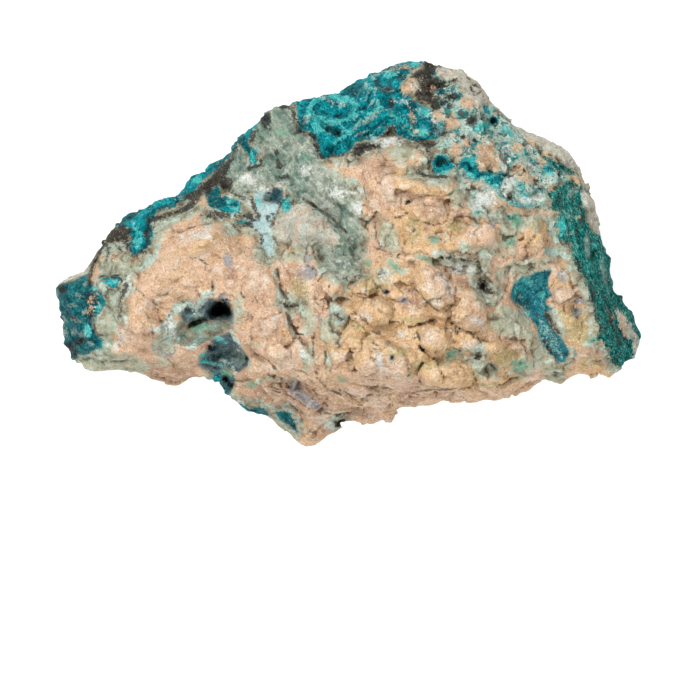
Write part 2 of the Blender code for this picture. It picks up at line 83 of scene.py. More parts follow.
SHOULDER_PATCH = [
    (-13.5, 13.2), (-12.0, 14.3), (-10.9, 14.4), (-11.5, 13.5), (-11.6, 12.5), (-10.9, 12.0), (-10.4, 11.4),
    (-10.6, 10.4), (-11.4, 10.1), (-11.7, 11.2), (-12.2, 12.0), (-12.8, 12.4),
]
EDGE_PATCH = [
    (-16.6, 6.5), (-16.2, 7.4), (-15.2, 7.6), (-14.8, 6.6), (-14.0, 6.2), (-12.9, 6.1), (-12.4, 5.4),
    (-12.6, 4.8), (-13.8, 4.5), (-15.0, 4.9), (-15.9, 5.1), (-16.4, 5.6),
]
SMALL_TRIANGLE = [(-28.8, -2.9), (-26.5, -2.8), (-26.4, -3.4), (-27.1, -4.5), (-27.8, -3.9)]
POCKET = [
    (9.3, 10.0), (9.7, 10.7), (10.3, 11.3), (11.2, 11.2), (12.0, 10.5), (12.5, 9.9), (11.9, 9.4), (11.2, 9.1),
    (10.7, 8.8), (10.0, 8.9), (9.6, 9.4),
]
BLUE_WEDGE = [
    (12.7, 10.6), (14.6, 11.4), (14.8, 9.7), (15.4, 9.3), (16.9, 9.1), (17.7, 9.0), (18.0, 8.4), (17.4, 7.2),
    (16.2, 7.7), (15.0, 8.1), (13.9, 8.6), (13.4, 9.4), (12.5, 9.6),
]
LOW_EDGE = [
    (-15.7, -14.0), (-14.9, -14.2), (-14.9, -15.2), (-14.2, -16.0), (-13.9, -16.9), (-12.8, -17.7),
    (-11.4, -18.1), (-10.6, -17.9), (-9.8, -18.2), (-9.2, -18.9), (-10.5, -20), (-14, -19.5), (-16.5, -17),
]
LOW_PATCH = [
    (-8.4, -18.6), (-7.3, -18.5), (-6.6, -19.1), (-6.2, -19.9), (-5.9, -20.9), (-6.6, -20.6), (-7.3, -19.9),
    (-8.1, -19.3),
]
FIBRE_BAND = [
    (22.9, 6.9), (23.4, 6.0), (23.3, 5.0), (24.2, 4.6), (24.1, 3.0), (24.2, 1.7), (24.9, 1.0), (25.7, 0.7),
    (25.8, -0.6), (26.3, -1.7), (26.9, -2.7), (27.4, -3.7), (27.8, -4.8), (28.1, -6.2), (28.4, -7.3),
    (29.0, -8.6), (28.9, -9.5), (28.0, -10.4), (29.3, -10.2), (29.8, -10.9), (30.3, -12.0), (30.9, -13.0),
    (31.9, -13.6), (34.5, -12), (35.5, -8), (32.5, -3.5), (31.5, 0), (30.2, 1.5), (29.0, 2.2), (28.2, 2.7),
    (27.6, 3.8), (27.8, 4.8), (27.1, 5.6), (27.2, 7.0), (27.0, 8.2), (26.0, 8.6), (24.8, 7.9), (23.8, 7.6),
]
UPPER_BAND = [
    (21.8, 12.2), (22.4, 11.0), (23.4, 9.9), (24.2, 9.4), (25.1, 8.9), (26.4, 8.8), (26.2, 9.5), (25.0, 10.1),
    (23.7, 10.9), (22.7, 11.7),
]
BLUE_STRIP = [
    (18.5, -4.9), (18.9, -4.1), (19.3, -3.4), (20.0, -3.0), (20.8, -3.0), (21.6, -2.4), (22.4, -2.1),
    (23.4, -2.2), (23.1, -3.2), (23.0, -4.4), (23.5, -5.0), (22.8, -5.7), (23.4, -6.6), (22.6, -7.0),
    (23.0, -7.8), (23.5, -8.8), (24.3, -9.6), (24.9, -10.4), (25.5, -11.4), (25.4, -12.0), (25.0, -12.9),
    (24.2, -12.7), (23.4, -11.7), (22.5, -10.8), (22.0, -9.8), (21.7, -8.7), (21.2, -7.9), (20.6, -7.0),
    (19.7, -6.2), (18.8, -5.6),
]
QUARTZ = [
    (-13.6, 12.2), (-12.8, 12.4), (-12.0, 11.6), (-11.8, 10.2), (-10.3, 9.9), (-10.1, 11.6), (-11.2, 12.6),
    (-10.7, 15.4), (-9.0, 16.5), (-7.0, 16.9), (-6.2, 16.2), (-6.0, 14.2), (-4.9, 13.8), (-4.0, 12.9),
    (-3.4, 11.0), (-3.6, 10.2), (-2.4, 8.8), (-1.0, 8.0), (0.2, 7.6), (0.2, 5.9), (0.7, 4.6), (1.4, 3.4),
    (0.9, 2.2), (1.6, 1.4), (1.0, 0.0), (1.0, -1.6), (1.8, -2.6), (0.4, -2.9), (-1.4, -2.9), (-2.4, -2.2),
    (-3.0, -1.2), (-3.4, 0.4), (-4.2, 1.3), (-5.4, 0.9), (-7.0, 1.2), (-8.4, 1.4), (-8.9, 2.6), (-8.4, 4.0),
    (-7.2, 4.3), (-6.4, 4.9), (-6.4, 6.8), (-7.4, 8.0), (-9.6, 7.6), (-11.2, 6.7), (-12.6, 6.4), (-13.8, 7.2),
    (-14.8, 8.4), (-14.6, 9.8), (-13.8, 10.8),
]
BEIGE_PLANE = [
    (-8.9, 2.6), (-8.4, 4.0), (-7.2, 4.3), (-6.2, 5.6), (-5.4, 6.0), (-4.0, 4.9), (-2.4, 3.6), (-1.2, 2.2),
    (-1.0, 0.4), (-2.6, 0.6), (-4.2, 1.3), (-5.4, 0.9), (-7.0, 1.2), (-8.4, 1.4),
]
BEIGE_QUARTZ = [
    (9.9, 20.4), (9.9, 21.4), (11.0, 22.5), (14.0, 22.5), (17.2, 18.4), (19.4, 15.2), (18.2, 15.4),
    (17.6, 16.1), (16.8, 16.8), (16.0, 16.4), (15.0, 16.2), (14.2, 16.6), (13.4, 17.0), (13.2, 18.0),
    (13.4, 18.8), (12.6, 19.4), (12.0, 19.9), (10.8, 20.1),
]
PALE_LOBE = [
    (19.0, 15.6), (21.0, 14.8), (25.5, 13.2), (27.0, 11.4), (26.4, 9.7), (25.2, 10.2), (23.9, 11.0),
    (22.8, 11.9), (21.9, 12.6), (21.0, 13.0), (20.2, 13.8), (19.4, 14.6),
]
PALE_RIM = [(27.0, 6.8), (27.6, 7.2), (29.0, 6.4), (28.9, 5.4), (27.8, 4.9), (27.2, 5.7)]
PALE_FLANK = [(27.7, 4.2), (28.6, 4.8), (30.0, 3.4), (30.0, 1.6), (29.2, 2.0), (28.2, 2.8)]
PALE_SLIVER = [
    (30.9, -6.5), (31.7, -6.9), (32.5, -8.0), (33.2, -9.2), (33.8, -9.9), (35, -10.6), (33.4, -12.2),
    (33.1, -11.0), (32.9, -10.1), (32.0, -9.8), (31.6, -8.8), (31.1, -7.6),
]
TOP_SLIVER = [(-33.6, -2.4), (-31.0, -1.8), (-30.2, -2.3), (-31.4, -2.8), (-33.0, -3.3), (-34.6, -3.9)]
PALE_BLUE = [
    (-11.0, 6.8), (-10.2, 7.3), (-9.6, 7.0), (-9.7, 6.0), (-8.6, 5.8), (-7.9, 5.7), (-8.2, 4.6), (-8.9, 3.4),
    (-9.0, 2.2), (-8.5, 1.2), (-8.6, 0.2), (-9.1, -0.8), (-9.8, 0.0), (-10.1, 0.8), (-10.0, 2.0),
    (-11.1, 2.7), (-11.2, 3.4), (-10.4, 4.2), (-10.7, 5.2),
]
BRECCIA = [
    (10.6, 14.8), (10.0, 16.2), (9.8, 19.0), (11.0, 20.0), (12.8, 19.2), (13.3, 17.2), (15.4, 16.4),
    (17.2, 16.6), (18.6, 15.6), (19.6, 14.4), (21.4, 13.0), (23.0, 10.6), (25.2, 8.9), (27.4, 8.4),
    (25.4, 7.8), (23.4, 7.6), (22.7, 6.4), (22.9, 5.0), (21.4, 4.8), (18.6, 5.0), (16.8, 5.6), (15.0, 4.6),
    (14.2, 5.6), (13.4, 7.6), (12.6, 8.4), (12.2, 9.6), (12.2, 10.6), (11.0, 12.0), (10.2, 12.4),
    (11.4, 13.4),
]
SAGE_LEFT = [
    (-29.4, -1.0), (-28.4, 1.4), (-27.2, 1.2), (-26.2, 0.4), (-25.1, -0.6), (-23.8, -0.2), (-22.8, 0.6),
    (-22.2, 0.9), (-21.8, 0.4), (-22.8, -1.6), (-24.2, -2.4), (-25.4, -3.6), (-26.0, -5.0), (-26.4, -7.0),
    (-26.8, -8.8), (-27.3, -10.0), (-27.0, -11.6), (-24.5, -12.0), (-22.6, -13.4), (-25.5, -14.6),
    (-30.5, -14.6), (-33, -13.2), (-31.4, -12.0), (-28.8, -11.2), (-29.2, -9.4), (-28.4, -7.0), (-28.4, -5.2),
    (-29.4, -4.0), (-29.6, -2.6),
]
SAGE_TOP = [
    (-22.8, 3.4), (-21.4, 3.9), (-20.0, 4.5), (-18.4, 4.9), (-17.6, 5.8), (-16.6, 6.2), (-16.2, 5.1),
    (-16.6, 4.5), (-18.0, 4.2), (-19.6, 3.7), (-20.8, 2.6), (-22.2, 1.4), (-23.0, 2.2),
]
SAGE_STRIP = [
    (15.8, -5.4), (17.0, -6.0), (18.4, -6.4), (19.8, -6.8), (21.0, -8.2), (21.8, -10.4), (23.2, -12.2),
    (24.8, -13.2), (25.4, -15.2), (23.0, -15.2), (22.6, -13.8), (21.0, -12.6), (20.8, -11.0), (19.8, -9.9),
    (17.4, -9.8), (16.4, -8.4), (17.0, -7.0),
]
VUG_UPPER = [
    (-19.4, -7.2), (-18.9, -6.4), (-18.1, -6.3), (-17.6, -6.7), (-16.8, -5.7), (-16.2, -5.3), (-15.2, -5.5),
    (-14.0, -5.5), (-13.5, -6.2), (-13.4, -7.2), (-13.5, -8.0), (-15.2, -8.0), (-17.4, -8.1), (-19.0, -8.3),
]
VUG_LEFT = [
    (-19.5, -7.0), (-18.7, -6.0), (-17.0, -6.0), (-16.5, -5.2), (-15.6, -5.3), (-15.6, -8.1), (-17.0, -8.0),
    (-19.0, -8.5),
]
VUG_LOWER = [
    (-13.6, -9.2), (-14.8, -9.6), (-15.9, -10.2), (-15.8, -10.7), (-16.4, -11.3), (-17.2, -12.0),
    (-17.5, -12.8), (-16.2, -13.4), (-15.0, -13.5), (-14.0, -13.6), (-12.9, -14.0), (-11.9, -13.4),
    (-11.3, -12.7), (-12.2, -11.4), (-12.9, -10.3),
]
VUG_LEDGE = [
    (-20.6, -9.0), (-19.6, -8.0), (-17.4, -8.1), (-15.2, -8.1), (-13.3, -8.1), (-13.5, -9.1), (-15.0, -9.5),
    (-16.0, -10.3), (-17.0, -10.7), (-18.6, -11.3), (-20.0, -10.7), (-20.8, -10.0),
]
VUG_FOOT = [
    (-17.8, -13.0), (-17.0, -12.8), (-15.6, -13.3), (-14.2, -13.5), (-13.3, -14.4), (-13.3, -15.4),
    (-13.9, -16.4), (-14.8, -16.2), (-15.2, -15.2), (-15.6, -14.2), (-16.6, -13.8),
]
TOP_SLOT = [(-2.8, 14.6), (-1.3, 14.7), (-0.9, 14.0), (-1.0, 13.3), (-1.5, 13.4), (-2.1, 13.9), (-2.8, 14.1)]
POCKET_FLOOR = [(10.0, 10.2), (10.5, 11.0), (11.2, 10.8), (11.7, 10.2), (11.2, 9.8), (10.6, 9.6)]
BLUE_MOUTH = [(-10.0, 5.8), (-9.7, 6.8), (-8.4, 7.6), (-7.6, 7.1), (-7.6, 6.0), (-8.4, 5.6), (-9.3, 5.7)]
VUG_MOUTH = [
    (-16.0, -6.6), (-15.5, -6.0), (-14.9, -5.6), (-14.2, -5.8), (-13.8, -6.4), (-13.5, -7.3), (-13.9, -7.5),
    (-14.6, -7.1), (-15.3, -7.4), (-15.9, -7.1),
]
DARK_TOP = [
    (6.9, 20.2), (7.7, 20.8), (8.6, 21.3), (8.8, 23), (10.6, 23), (10.2, 21.3), (9.7, 20.4), (11.0, 19.7),
    (10.9, 19.3), (9.9, 18.8), (9.9, 17.9), (11.0, 17.3), (10.6, 16.3), (9.8, 16.1), (9.3, 17.1), (8.4, 17.3),
    (7.5, 17.6), (7.7, 18.5), (8.4, 19.4), (8.5, 20.0), (7.7, 20.1),
]
DARK_STEP = [
    (0.3, 11.0), (0.6, 12.0), (1.1, 12.6), (2.6, 12.7), (4.0, 12.5), (3.4, 12.0), (2.0, 11.5), (0.8, 10.8),
]
DARK_NOTCH = [(3.6, 13.2), (4.3, 13.8), (4.6, 14.5), (5.3, 14.6), (5.2, 13.8), (4.8, 13.3)]
DARK_SILL = [(7.1, 12.7), (8.2, 12.8), (9.8, 12.7), (10.1, 12.3), (9.4, 11.9), (8.3, 12.2)]
WEDGE_GREY = [
    (-28.2, 1.6), (-27.2, 2.9), (-26.2, 3.2), (-25.5, 2.6), (-25.7, 1.2), (-26.6, 1.2), (-27.6, 1.0),
]
TAN_CLAST = [
    (14.9, 12.2), (15.8, 12.4), (16.7, 12.7), (17.0, 11.4), (17.1, 10.2), (17.3, 9.6), (16.8, 9.2),
    (15.2, 9.5), (14.9, 10.3),
]

# Ovals of each mineral or tint: place, half width, half length, turn in degrees
SAGE_SPOTS = [
    (18.6, 2.6, 1.3, 2.4, -10), (23.6, 2.8, 0.5, 1.4, 0), (24.2, -0.2, 1.5, 1.0, -10),
    (20.4, -1.8, 2.6, 1.0, 10), (17.6, -2.6, 0.9, 0.8, 0), (12.6, 6.4, 1.0, 1.2, 0), (4.6, 1.7, 1.1, 2.1, 20),
    (5.4, -1.8, 1.2, 0.6, -40), (3.9, -2.6, 0.9, 0.9, 0), (-5.0, -7.4, 0.9, 2.2, 20),
    (-2.3, -9.2, 1.0, 1.6, 10), (-6.4, -0.4, 1.5, 0.8, 0), (-1.6, -6.4, 0.4, 1.6, -5),
    (-0.3, -4.2, 0.3, 1.0, 0), (18.6, -8.4, 2.2, 1.2, -30), (6.0, 11.4, 1.6, 1.1, 5),
    (17.4, 4.6, 1.0, 0.8, 0), (-4.8, -12.2, 0.9, 1.6, 0), (-13.6, 4.9, 0.9, 0.5, 0),
    (12.4, -12.0, 1.0, 0.6, 20), (16.2, -13.8, 1.4, 0.9, 0), (-21.3, -10.4, 1.4, 1.3, 0),
    (-2.4, -12.4, 0.3, 1.2, 0), (9.9, 1.5, 0.9, 0.5, 20), (-9.4, -14.9, 2.0, 0.3, 0),
    (20.2, -13.4, 1.6, 1.2, 30), (-12.7, -6.8, 0.5, 1.8, 0), (-3.4, -0.9, 0.4, 1.2, 20),
    (11.6, 12.5, 1.6, 0.7, 10), (26.2, -2.4, 0.5, 1.4, 30), (-21.6, -12.8, 0.9, 0.5, 0),
    (0.9, 6.3, 1.1, 1.7, 0), (-9.5, 2.6, 2.0, 0.4, 70), (15.8, 0.0, 2.4, 0.5, -10), (-8.0, -5.3, 0.6, 0.6, 0),
]
# Cream ovals: pale patches of the rock, except (5.0, -15.5) and (1.6, -16.5), which are a painted highlight
# along the lower lump's edge
CREAM_SPOTS = [
    (10.4, -4.0, 2.3, 1.6, -40), (4.4, 7.4, 0.8, 1.8, 5), (4.2, -13.4, 2.6, 1.6, -10),
    (5.0, -15.5, 2.8, 0.4, 12), (1.6, -16.5, 2.2, 0.5, -15), (-17.6, 1.8, 2.2, 0.8, 12),
    (13.8, -10.7, 0.9, 0.6, 0), (14.4, -8.0, 0.9, 0.7, 0), (1.9, -7.3, 0.9, 0.6, 0),
    (-9.0, -8.6, 1.1, 1.0, 20), (-9.4, -13.4, 1.3, 0.5, -25), (-24.8, -3.2, 0.6, 0.5, 0),
    (-26.0, -9.8, 0.8, 1.4, -20), (-7.0, -12.6, 1.6, 1.0, -30), (14.9, 2.2, 1.6, 0.7, 10),
    (-2.8, -19.6, 1.8, 0.9, 0), (-20.4, -1.6, 1.4, 0.5, 20), (3.4, -17.4, 0.9, 0.9, 0),
    (15.2, 7.6, 1.0, 0.5, 0), (-23.4, -6.4, 1.4, 0.8, 40), (-15.0, -1.9, 0.5, 0.7, 30),
    (5.0, 5.8, 0.9, 0.7, 0), (-10.4, -3.4, 1.2, 1.6, 0), (24.6, -4.9, 1.5, 1.0, 0), (-7.6, -1.4, 0.7, 0.6, 0),
    (16.4, -14.4, 1.3, 0.6, 0), (-1.0, -12.0, 1.1, 0.7, 0), (9.6, -9.8, 1.2, 1.0, 0),
]
OCHRE_SPOTS = [
    (6.0, -7.0, 8.0, 6.0, -20), (13.0, -12.5, 7.0, 3.6, 0), (9.0, 7.4, 4.2, 1.2, -6),
    (21.4, 2.2, 2.0, 2.2, 0), (9.0, 2.0, 5.0, 3.0, -20), (26.4, -8.2, 2.4, 3.4, 15),
    (0.0, -10.6, 3.4, 3.0, 0), (-16.6, 1.0, 2.2, 0.9, 30), (18.2, -13.4, 2.6, 2.4, 0),
    (24.8, -4.0, 1.6, 1.6, 0), (6.0, 9.2, 2.2, 0.8, -10), (5.2, 9.0, 1.4, 0.9, 0), (-16.4, -4.6, 0.7, 0.6, 0),
    (-7.4, -9.4, 0.6, 0.9, 20), (28.6, -13.6, 2.6, 0.9, -10),
]
# Umber ovals: brown patches of the rock; the long ones along the lower edge are painted shade on faces that
# turn down
UMBER_SPOTS = [
    (-6.2, -9.0, 0.5, 2.0, 27), (-5.4, -5.4, 0.9, 1.4, 10), (4.0, 9.6, 1.6, 1.0, 0),
    (-7.0, -6.4, 0.6, 0.5, 0), (-9.0, -16.6, 5.5, 1.8, -18), (-4.6, -16.6, 3.2, 1.0, -38),
    (-22.0, -13.9, 4.5, 1.4, -8), (0.4, -18.4, 3.0, 0.5, -15), (7.0, -6.0, 1.5, 0.9, -10),
    (2.5, 6.2, 0.7, 1.5, 10), (9.6, 4.7, 1.9, 0.9, 5), (13.6, -3.4, 1.6, 0.5, -10),
    (-13.6, -3.0, 0.9, 1.7, 0), (6.4, -16.8, 1.0, 0.9, 20), (11.0, -16.6, 2.6, 0.5, 0),
    (1.9, 10.3, 1.7, 0.5, -5), (-6.2, -2.9, 1.2, 1.8, 10), (17.2, -4.2, 0.8, 1.8, 40),
    (28.5, -11.6, 0.9, 1.2, 0), (-16.5, -10.8, 0.8, 0.25, 25), (25.2, -13.6, 0.9, 0.4, 0),
    (-20.0, -14.6, 3.0, 0.8, 0), (-12.2, 7.4, 0.9, 0.8, 0), (14.2, 14.8, 0.7, 1.6, 0),
    (25.3, 1.1, 0.5, 0.5, 0), (-3.2, -21.2, 2.0, 0.6, 20), (12.2, 12.2, 0.9, 0.7, 0), (9.0, 2.6, 0.5, 0.5, 0),
    (8.4, -14.7, 0.5, 0.8, 0), (15.1, -1.8, 0.6, 1.6, 10), (-10.4, -12.2, 1.6, 0.4, -40),
    (19.4, -10.3, 1.2, 0.4, -20), (-7.6, -15.0, 2.4, 0.4, -12), (-4.2, 1.0, 0.6, 0.5, 0),
    (20.6, -0.6, 1.6, 0.3, 15), (7.2, -4.6, 0.9, 0.5, -30), (-0.8, -12.9, 1.2, 0.3, 30),
    (13.6, 11.4, 0.9, 0.5, 0), (26.9, -3.8, 0.5, 0.9, 30), (-26.9, 0.4, 1.2, 0.5, 50),
]
LAVENDER_SPOTS = [
    (-21.2, -11.4, 1.2, 0.9, 0), (-19.4, -9.9, 0.6, 0.5, 20), (-13.4, -7.9, 0.4, 1.4, 0),
    (-14.4, -5.1, 0.8, 0.3, 0), (-9.4, 1.0, 0.6, 1.5, 0), (-13.9, -1.0, 0.6, 1.0, 10),
    (-5.1, -0.6, 1.1, 0.9, 0), (-4.5, -2.4, 1.0, 0.9, 0), (12.7, -1.9, 1.2, 0.9, -15),
    (-22.5, -11.0, 0.3, 1.0, 0), (-17.3, -10.2, 0.9, 0.4, 10), (16.4, -13.2, 0.6, 0.5, -10),
    (-3.3, -7.8, 0.3, 0.9, 15), (4.2, -4.7, 0.5, 0.4, 0), (5.0, -12.2, 0.3, 0.5, 0),
    (-6.2, -15.4, 0.9, 0.5, 0), (-5.0, -17.0, 2.6, 0.6, -33), (4.6, -10.5, 0.3, 0.3, 0),
    (17.8, 9.6, 0.5, 1.0, 0), (17.8, 12.6, 1.1, 0.8, 0), (26.8, -5.7, 0.9, 0.5, 0), (26.4, -7.0, 0.8, 0.6, 0),
    (24.7, -2.8, 0.7, 0.7, 0), (16.6, 3.6, 0.6, 1.0, 0), (6.2, -5.6, 0.8, 0.4, -20),
    (-5.6, -2.7, 0.3, 0.6, 0), (-1.8, -20.3, 0.7, 0.3, 20), (-1.0, 2.0, 0.5, 0.6, 30),
]
STAIN_SPOTS = [
    (-5.6, -4.4, 1.2, 1.8, 10), (3.0, -4.0, 1.6, 0.8, 0), (1.4, -9.0, 1.8, 0.4, -36),
    (8.8, -13.0, 1.8, 0.8, 10), (18.4, -12.2, 1.6, 1.2, 0), (26.6, -8.6, 2.0, 2.0, 20),
    (7.4, 2.4, 1.0, 1.6, 0), (16.6, -8.2, 0.8, 1.2, 0), (21.8, 3.4, 1.4, 0.8, 0), (-2.4, -12.4, 0.4, 1.2, 10),
    (25.0, -13.6, 0.9, 0.5, 0), (-27.6, -8.4, 0.7, 2.2, 0), (7.4, -8.0, 1.4, 0.5, -10),
    (14.6, -14.0, 0.6, 1.0, 0), (26.2, -2.2, 0.5, 1.4, 35), (5.6, -11.6, 1.4, 0.6, 0),
    (12.4, 3.0, 1.2, 0.8, 0), (16.5, -15.4, 1.4, 0.4, 0), (24.4, -7.2, 0.8, 0.7, 0),
    (28.0, -12.6, 1.4, 0.7, 0), (-1.0, -8.4, 1.2, 0.3, -20), (11.4, -12.7, 1.6, 0.4, 20),
]
DEEP_SPOTS = [
    (-8.1, 6.6, 0.9, 0.9, 0), (-16.0, -11.0, 1.1, 0.6, 20), (-1.9, 14.0, 1.0, 0.6, -10),
    (-15.8, 6.6, 1.0, 0.8, 0), (11.2, 18.3, 2.4, 1.2, 0), (7.8, 19.0, 1.6, 1.6, 0), (24.4, 9.0, 1.6, 0.8, 0),
    (-31.6, -7.6, 3.2, 5.2, 0), (-33.2, -5.6, 0.9, 2.0, 0), (-31.4, -10.6, 1.6, 1.0, 0),
    (-26.8, 2.2, 1.4, 1.4, 0), (-19.0, 6.0, 3.0, 0.5, 35), (-14.8, 10.9, 0.6, 1.4, -30),
    (-15.2, 6.2, 1.6, 1.2, 0), (0.6, 18.8, 1.2, 0.9, 0), (3.3, 16.8, 0.6, 0.9, -20),
    (-5.4, 15.0, 0.5, 0.7, 0), (6.0, 20.4, 0.7, 0.7, 0), (7.4, 16.8, 0.5, 0.9, 20),
    (-8.6, -19.2, 6.0, 3.0, 0), (-13.0, -17.0, 3.0, 2.5, 0), (-12.4, 12.8, 1.2, 0.8, -40),
    (3.4, 19.4, 0.5, 1.0, 10), (-23.1, 1.8, 0.4, 1.6, 0), (-30.9, -5.6, 0.6, 1.4, 20),
    (11.0, 10.3, 0.5, 0.3, 0), (-20.6, 5.4, 2.0, 0.3, 15), (17.4, 8.5, 0.7, 0.3, 0), (4.6, 18.6, 0.9, 0.6, 0),
    (-25.6, 4.2, 1.6, 0.5, 30),
]
HAZE_SPOTS = [
    (-31.9, -9.2, 0.4, 0.5, 20), (-30.6, -6.9, 0.3, 0.5, -20), (-12.9, -12.3, 0.9, 1.1, 20),
    (-14.4, -12.6, 0.9, 0.3, -30), (-17.4, -7.4, 0.6, 0.5, 0), (-9.5, 6.1, 0.5, 0.6, 0),
    (-31.8, -7.8, 0.9, 0.35, -25), (-30.4, -3.6, 0.6, 0.3, 20), (2.4, 15.2, 1.2, 0.25, 32),
    (4.6, 18.8, 0.8, 0.3, -10), (7.3, 15.3, 0.4, 0.8, 10), (1.4, 13.7, 0.9, 0.2, 25),
    (5.4, 21.3, 1.2, 0.2, 10), (2.3, 18.4, 0.2, 1.0, -15), (9.8, 14.8, 0.2, 0.7, 15),
    (8.8, 16.2, 0.8, 0.7, 0), (-27.6, 2.2, 0.8, 0.3, 40), (-19.2, 6.4, 0.9, 0.3, 20),
    (-10.0, 16.0, 1.4, 0.25, 30), (-4.8, 15.4, 0.4, 0.8, -30), (10.4, 14.0, 0.7, 0.7, 0),
    (-7.8, 17.1, 1.2, 0.2, 15), (3.2, 20.6, 0.7, 0.2, 10), (-29.6, -8.2, 0.4, 0.9, 0),
    (25.9, 6.8, 0.9, 0.4, 40), (27.6, 0.6, 0.4, 1.6, 5), (29.6, -2.4, 0.3, 1.6, 10),
    (30.4, -7.6, 0.15, 2.2, 22), (25.2, 4.4, 0.15, 1.4, 40), (31.6, -7.8, 0.2, 1.4, 30),
    (28.4, -6.8, 0.4, 0.6, 20), (25.6, 2.2, 0.5, 0.2, 0), (22.6, -8.6, 0.2, 1.6, 30),
    (21.6, -5.1, 0.3, 0.2, 0), (24.4, -11.6, 0.3, 0.9, 30), (19.8, -5.2, 0.3, 0.6, 30),
    (-33.0, -9.4, 0.3, 0.6, 0), (-32.2, -6.2, 0.6, 0.3, 10), (-30.9, -9.6, 0.4, 0.5, 0),
    (-33.2, -8.0, 0.3, 0.7, 0), (-31.2, -5.0, 0.6, 0.25, -10), (-29.9, -10.6, 0.6, 0.3, 0),
    (-34.0, -4.6, 0.3, 0.6, 0), (23.2, -10.0, 0.9, 2.2, 30), (20.6, -6.4, 0.3, 0.8, 30),
]
CLAST_SPOTS = [
    (-29.7, -5.6, 0.3, 0.7, -20), (7.0, 19.1, 0.9, 0.6, 35), (7.4, 15.3, 0.2, 0.6, 10),
    (12.0, 14.8, 0.5, 1.1, 10), (12.4, 11.4, 0.5, 0.8, 0), (19.8, 9.5, 1.0, 0.6, 0), (20.4, 8.5, 0.7, 0.5, 0),
    (26.4, 8.4, 0.6, 0.25, -20), (14.8, 7.6, 0.7, 0.35, 0), (22.2, 10.4, 0.3, 0.2, 0),
    (19.4, 12.0, 0.4, 0.4, 0), (-24.4, -0.8, 0.4, 0.25, 30), (20.2, 4.7, 1.4, 0.14, -5),
    (18.0, 5.4, 1.2, 0.16, -30), (9.6, 18.9, 0.3, 0.3, 0), (13.8, 17.2, 0.6, 0.5, 0),
    (10.4, 15.8, 0.5, 0.5, 0), (-16.9, 5.8, 0.4, 0.4, 0), (-27.0, -0.6, 0.4, 0.3, 20),
    (21.2, 12.6, 0.5, 0.3, -30), (5.6, 21.4, 0.4, 0.12, 10), (13.8, 12.6, 0.4, 0.3, 0),
    (23.4, 7.4, 0.3, 0.2, 0),
]
# Light cyan ovals on the crusts' crests and rims: painted highlights
CYAN_HIGHLIGHT_SPOTS = [
    (-14.8, -10.2, 0.8, 0.3, -25), (-16.9, -11.9, 0.4, 0.3, 40), (-16.2, -12.7, 1.0, 0.2, -14),
    (-11.0, 10.9, 0.3, 0.8, 10), (5.9, 15.3, 0.7, 0.5, -20), (8.1, 13.9, 0.8, 0.35, 10),
    (-24.4, 1.6, 0.5, 1.2, 10), (-17.6, 8.4, 0.5, 0.6, 0), (-27.2, -3.5, 0.5, 0.4, 0),
    (22.6, 0.0, 0.25, 0.15, 0), (-12.4, 3.4, 0.5, 0.22, 20), (-7.2, 5.2, 0.5, 0.4, 0),
    (-10.5, 5.8, 0.3, 0.6, 20), (14.2, 10.4, 0.5, 0.8, 0), (7.7, 21.9, 0.8, 0.4, 0),
    (-24.1, -0.9, 0.2, 0.3, 0), (4.9, 20.6, 0.9, 0.4, 10), (19.9, -4.4, 0.6, 0.4, 0),
    (22.4, -4.9, 0.7, 0.4, 10), (24.7, 3.0, 0.5, 1.0, 0), (15.4, 14.4, 1.2, 0.5, 20),
    (8.8, 16.2, 0.6, 0.6, 0), (-3.6, 14.4, 0.6, 0.9, 20), (-0.8, 17.7, 1.4, 0.3, 0),
    (-30.2, -9.0, 0.4, 0.7, 0), (-29.0, -6.5, 0.4, 0.3, 30), (3.6, 16.9, 0.3, 0.5, 0),
    (20.4, -3.4, 0.7, 0.25, 0), (12.4, 16.2, 0.6, 0.3, 0), (18.4, 14.0, 0.9, 0.4, -40),
    (16.9, 16.6, 0.4, 0.2, 0), (19.4, 11.6, 0.4, 0.5, 0), (23.2, 9.2, 0.5, 0.3, 0), (28.6, 0.8, 0.4, 0.3, 0),
    (-29.4, -4.2, 0.4, 0.3, 0), (-16.6, -12.6, 0.8, 0.3, -15), (-7.0, 6.2, 0.2, 0.5, 0),
    (14.9, 4.9, 0.18, 0.4, 0),
]
GREEN_SPOTS = [
    (2.3, -1.4, 0.4, 0.5, 20), (8.9, -0.9, 1.0, 0.22, -25), (-0.7, -14.8, 0.6, 0.3, -20),
    (11.9, -11.7, 0.7, 0.5, 20), (9.9, 1.3, 0.6, 0.3, 15), (-11.0, -10.6, 0.5, 0.18, 10),
    (7.0, -14.1, 0.4, 0.3, 40), (13.8, 0.3, 0.3, 0.15, 0), (5.4, -1.8, 0.8, 0.3, -40),
    (18.7, 1.2, 0.7, 0.5, 0), (-11.3, -15.4, 0.6, 0.3, 0), (-5.1, 11.0, 0.4, 0.25, 0),
    (28.3, -10.1, 0.6, 0.3, 30), (-8.0, 13.9, 0.8, 0.3, -20), (19.8, -13.2, 0.9, 0.7, 0),
    (3.3, -13.7, 0.12, 0.12, 0), (-1.7, -16.0, 0.15, 0.12, 0), (5.7, -9.6, 0.2, 0.15, 0),
    (19.4, 3.6, 0.7, 0.8, 0), (-17.2, -8.6, 1.0, 0.5, 10), (-14.2, -14.0, 0.5, 0.5, 0),
    (-9.4, 17.0, 1.0, 0.2, 15),
]
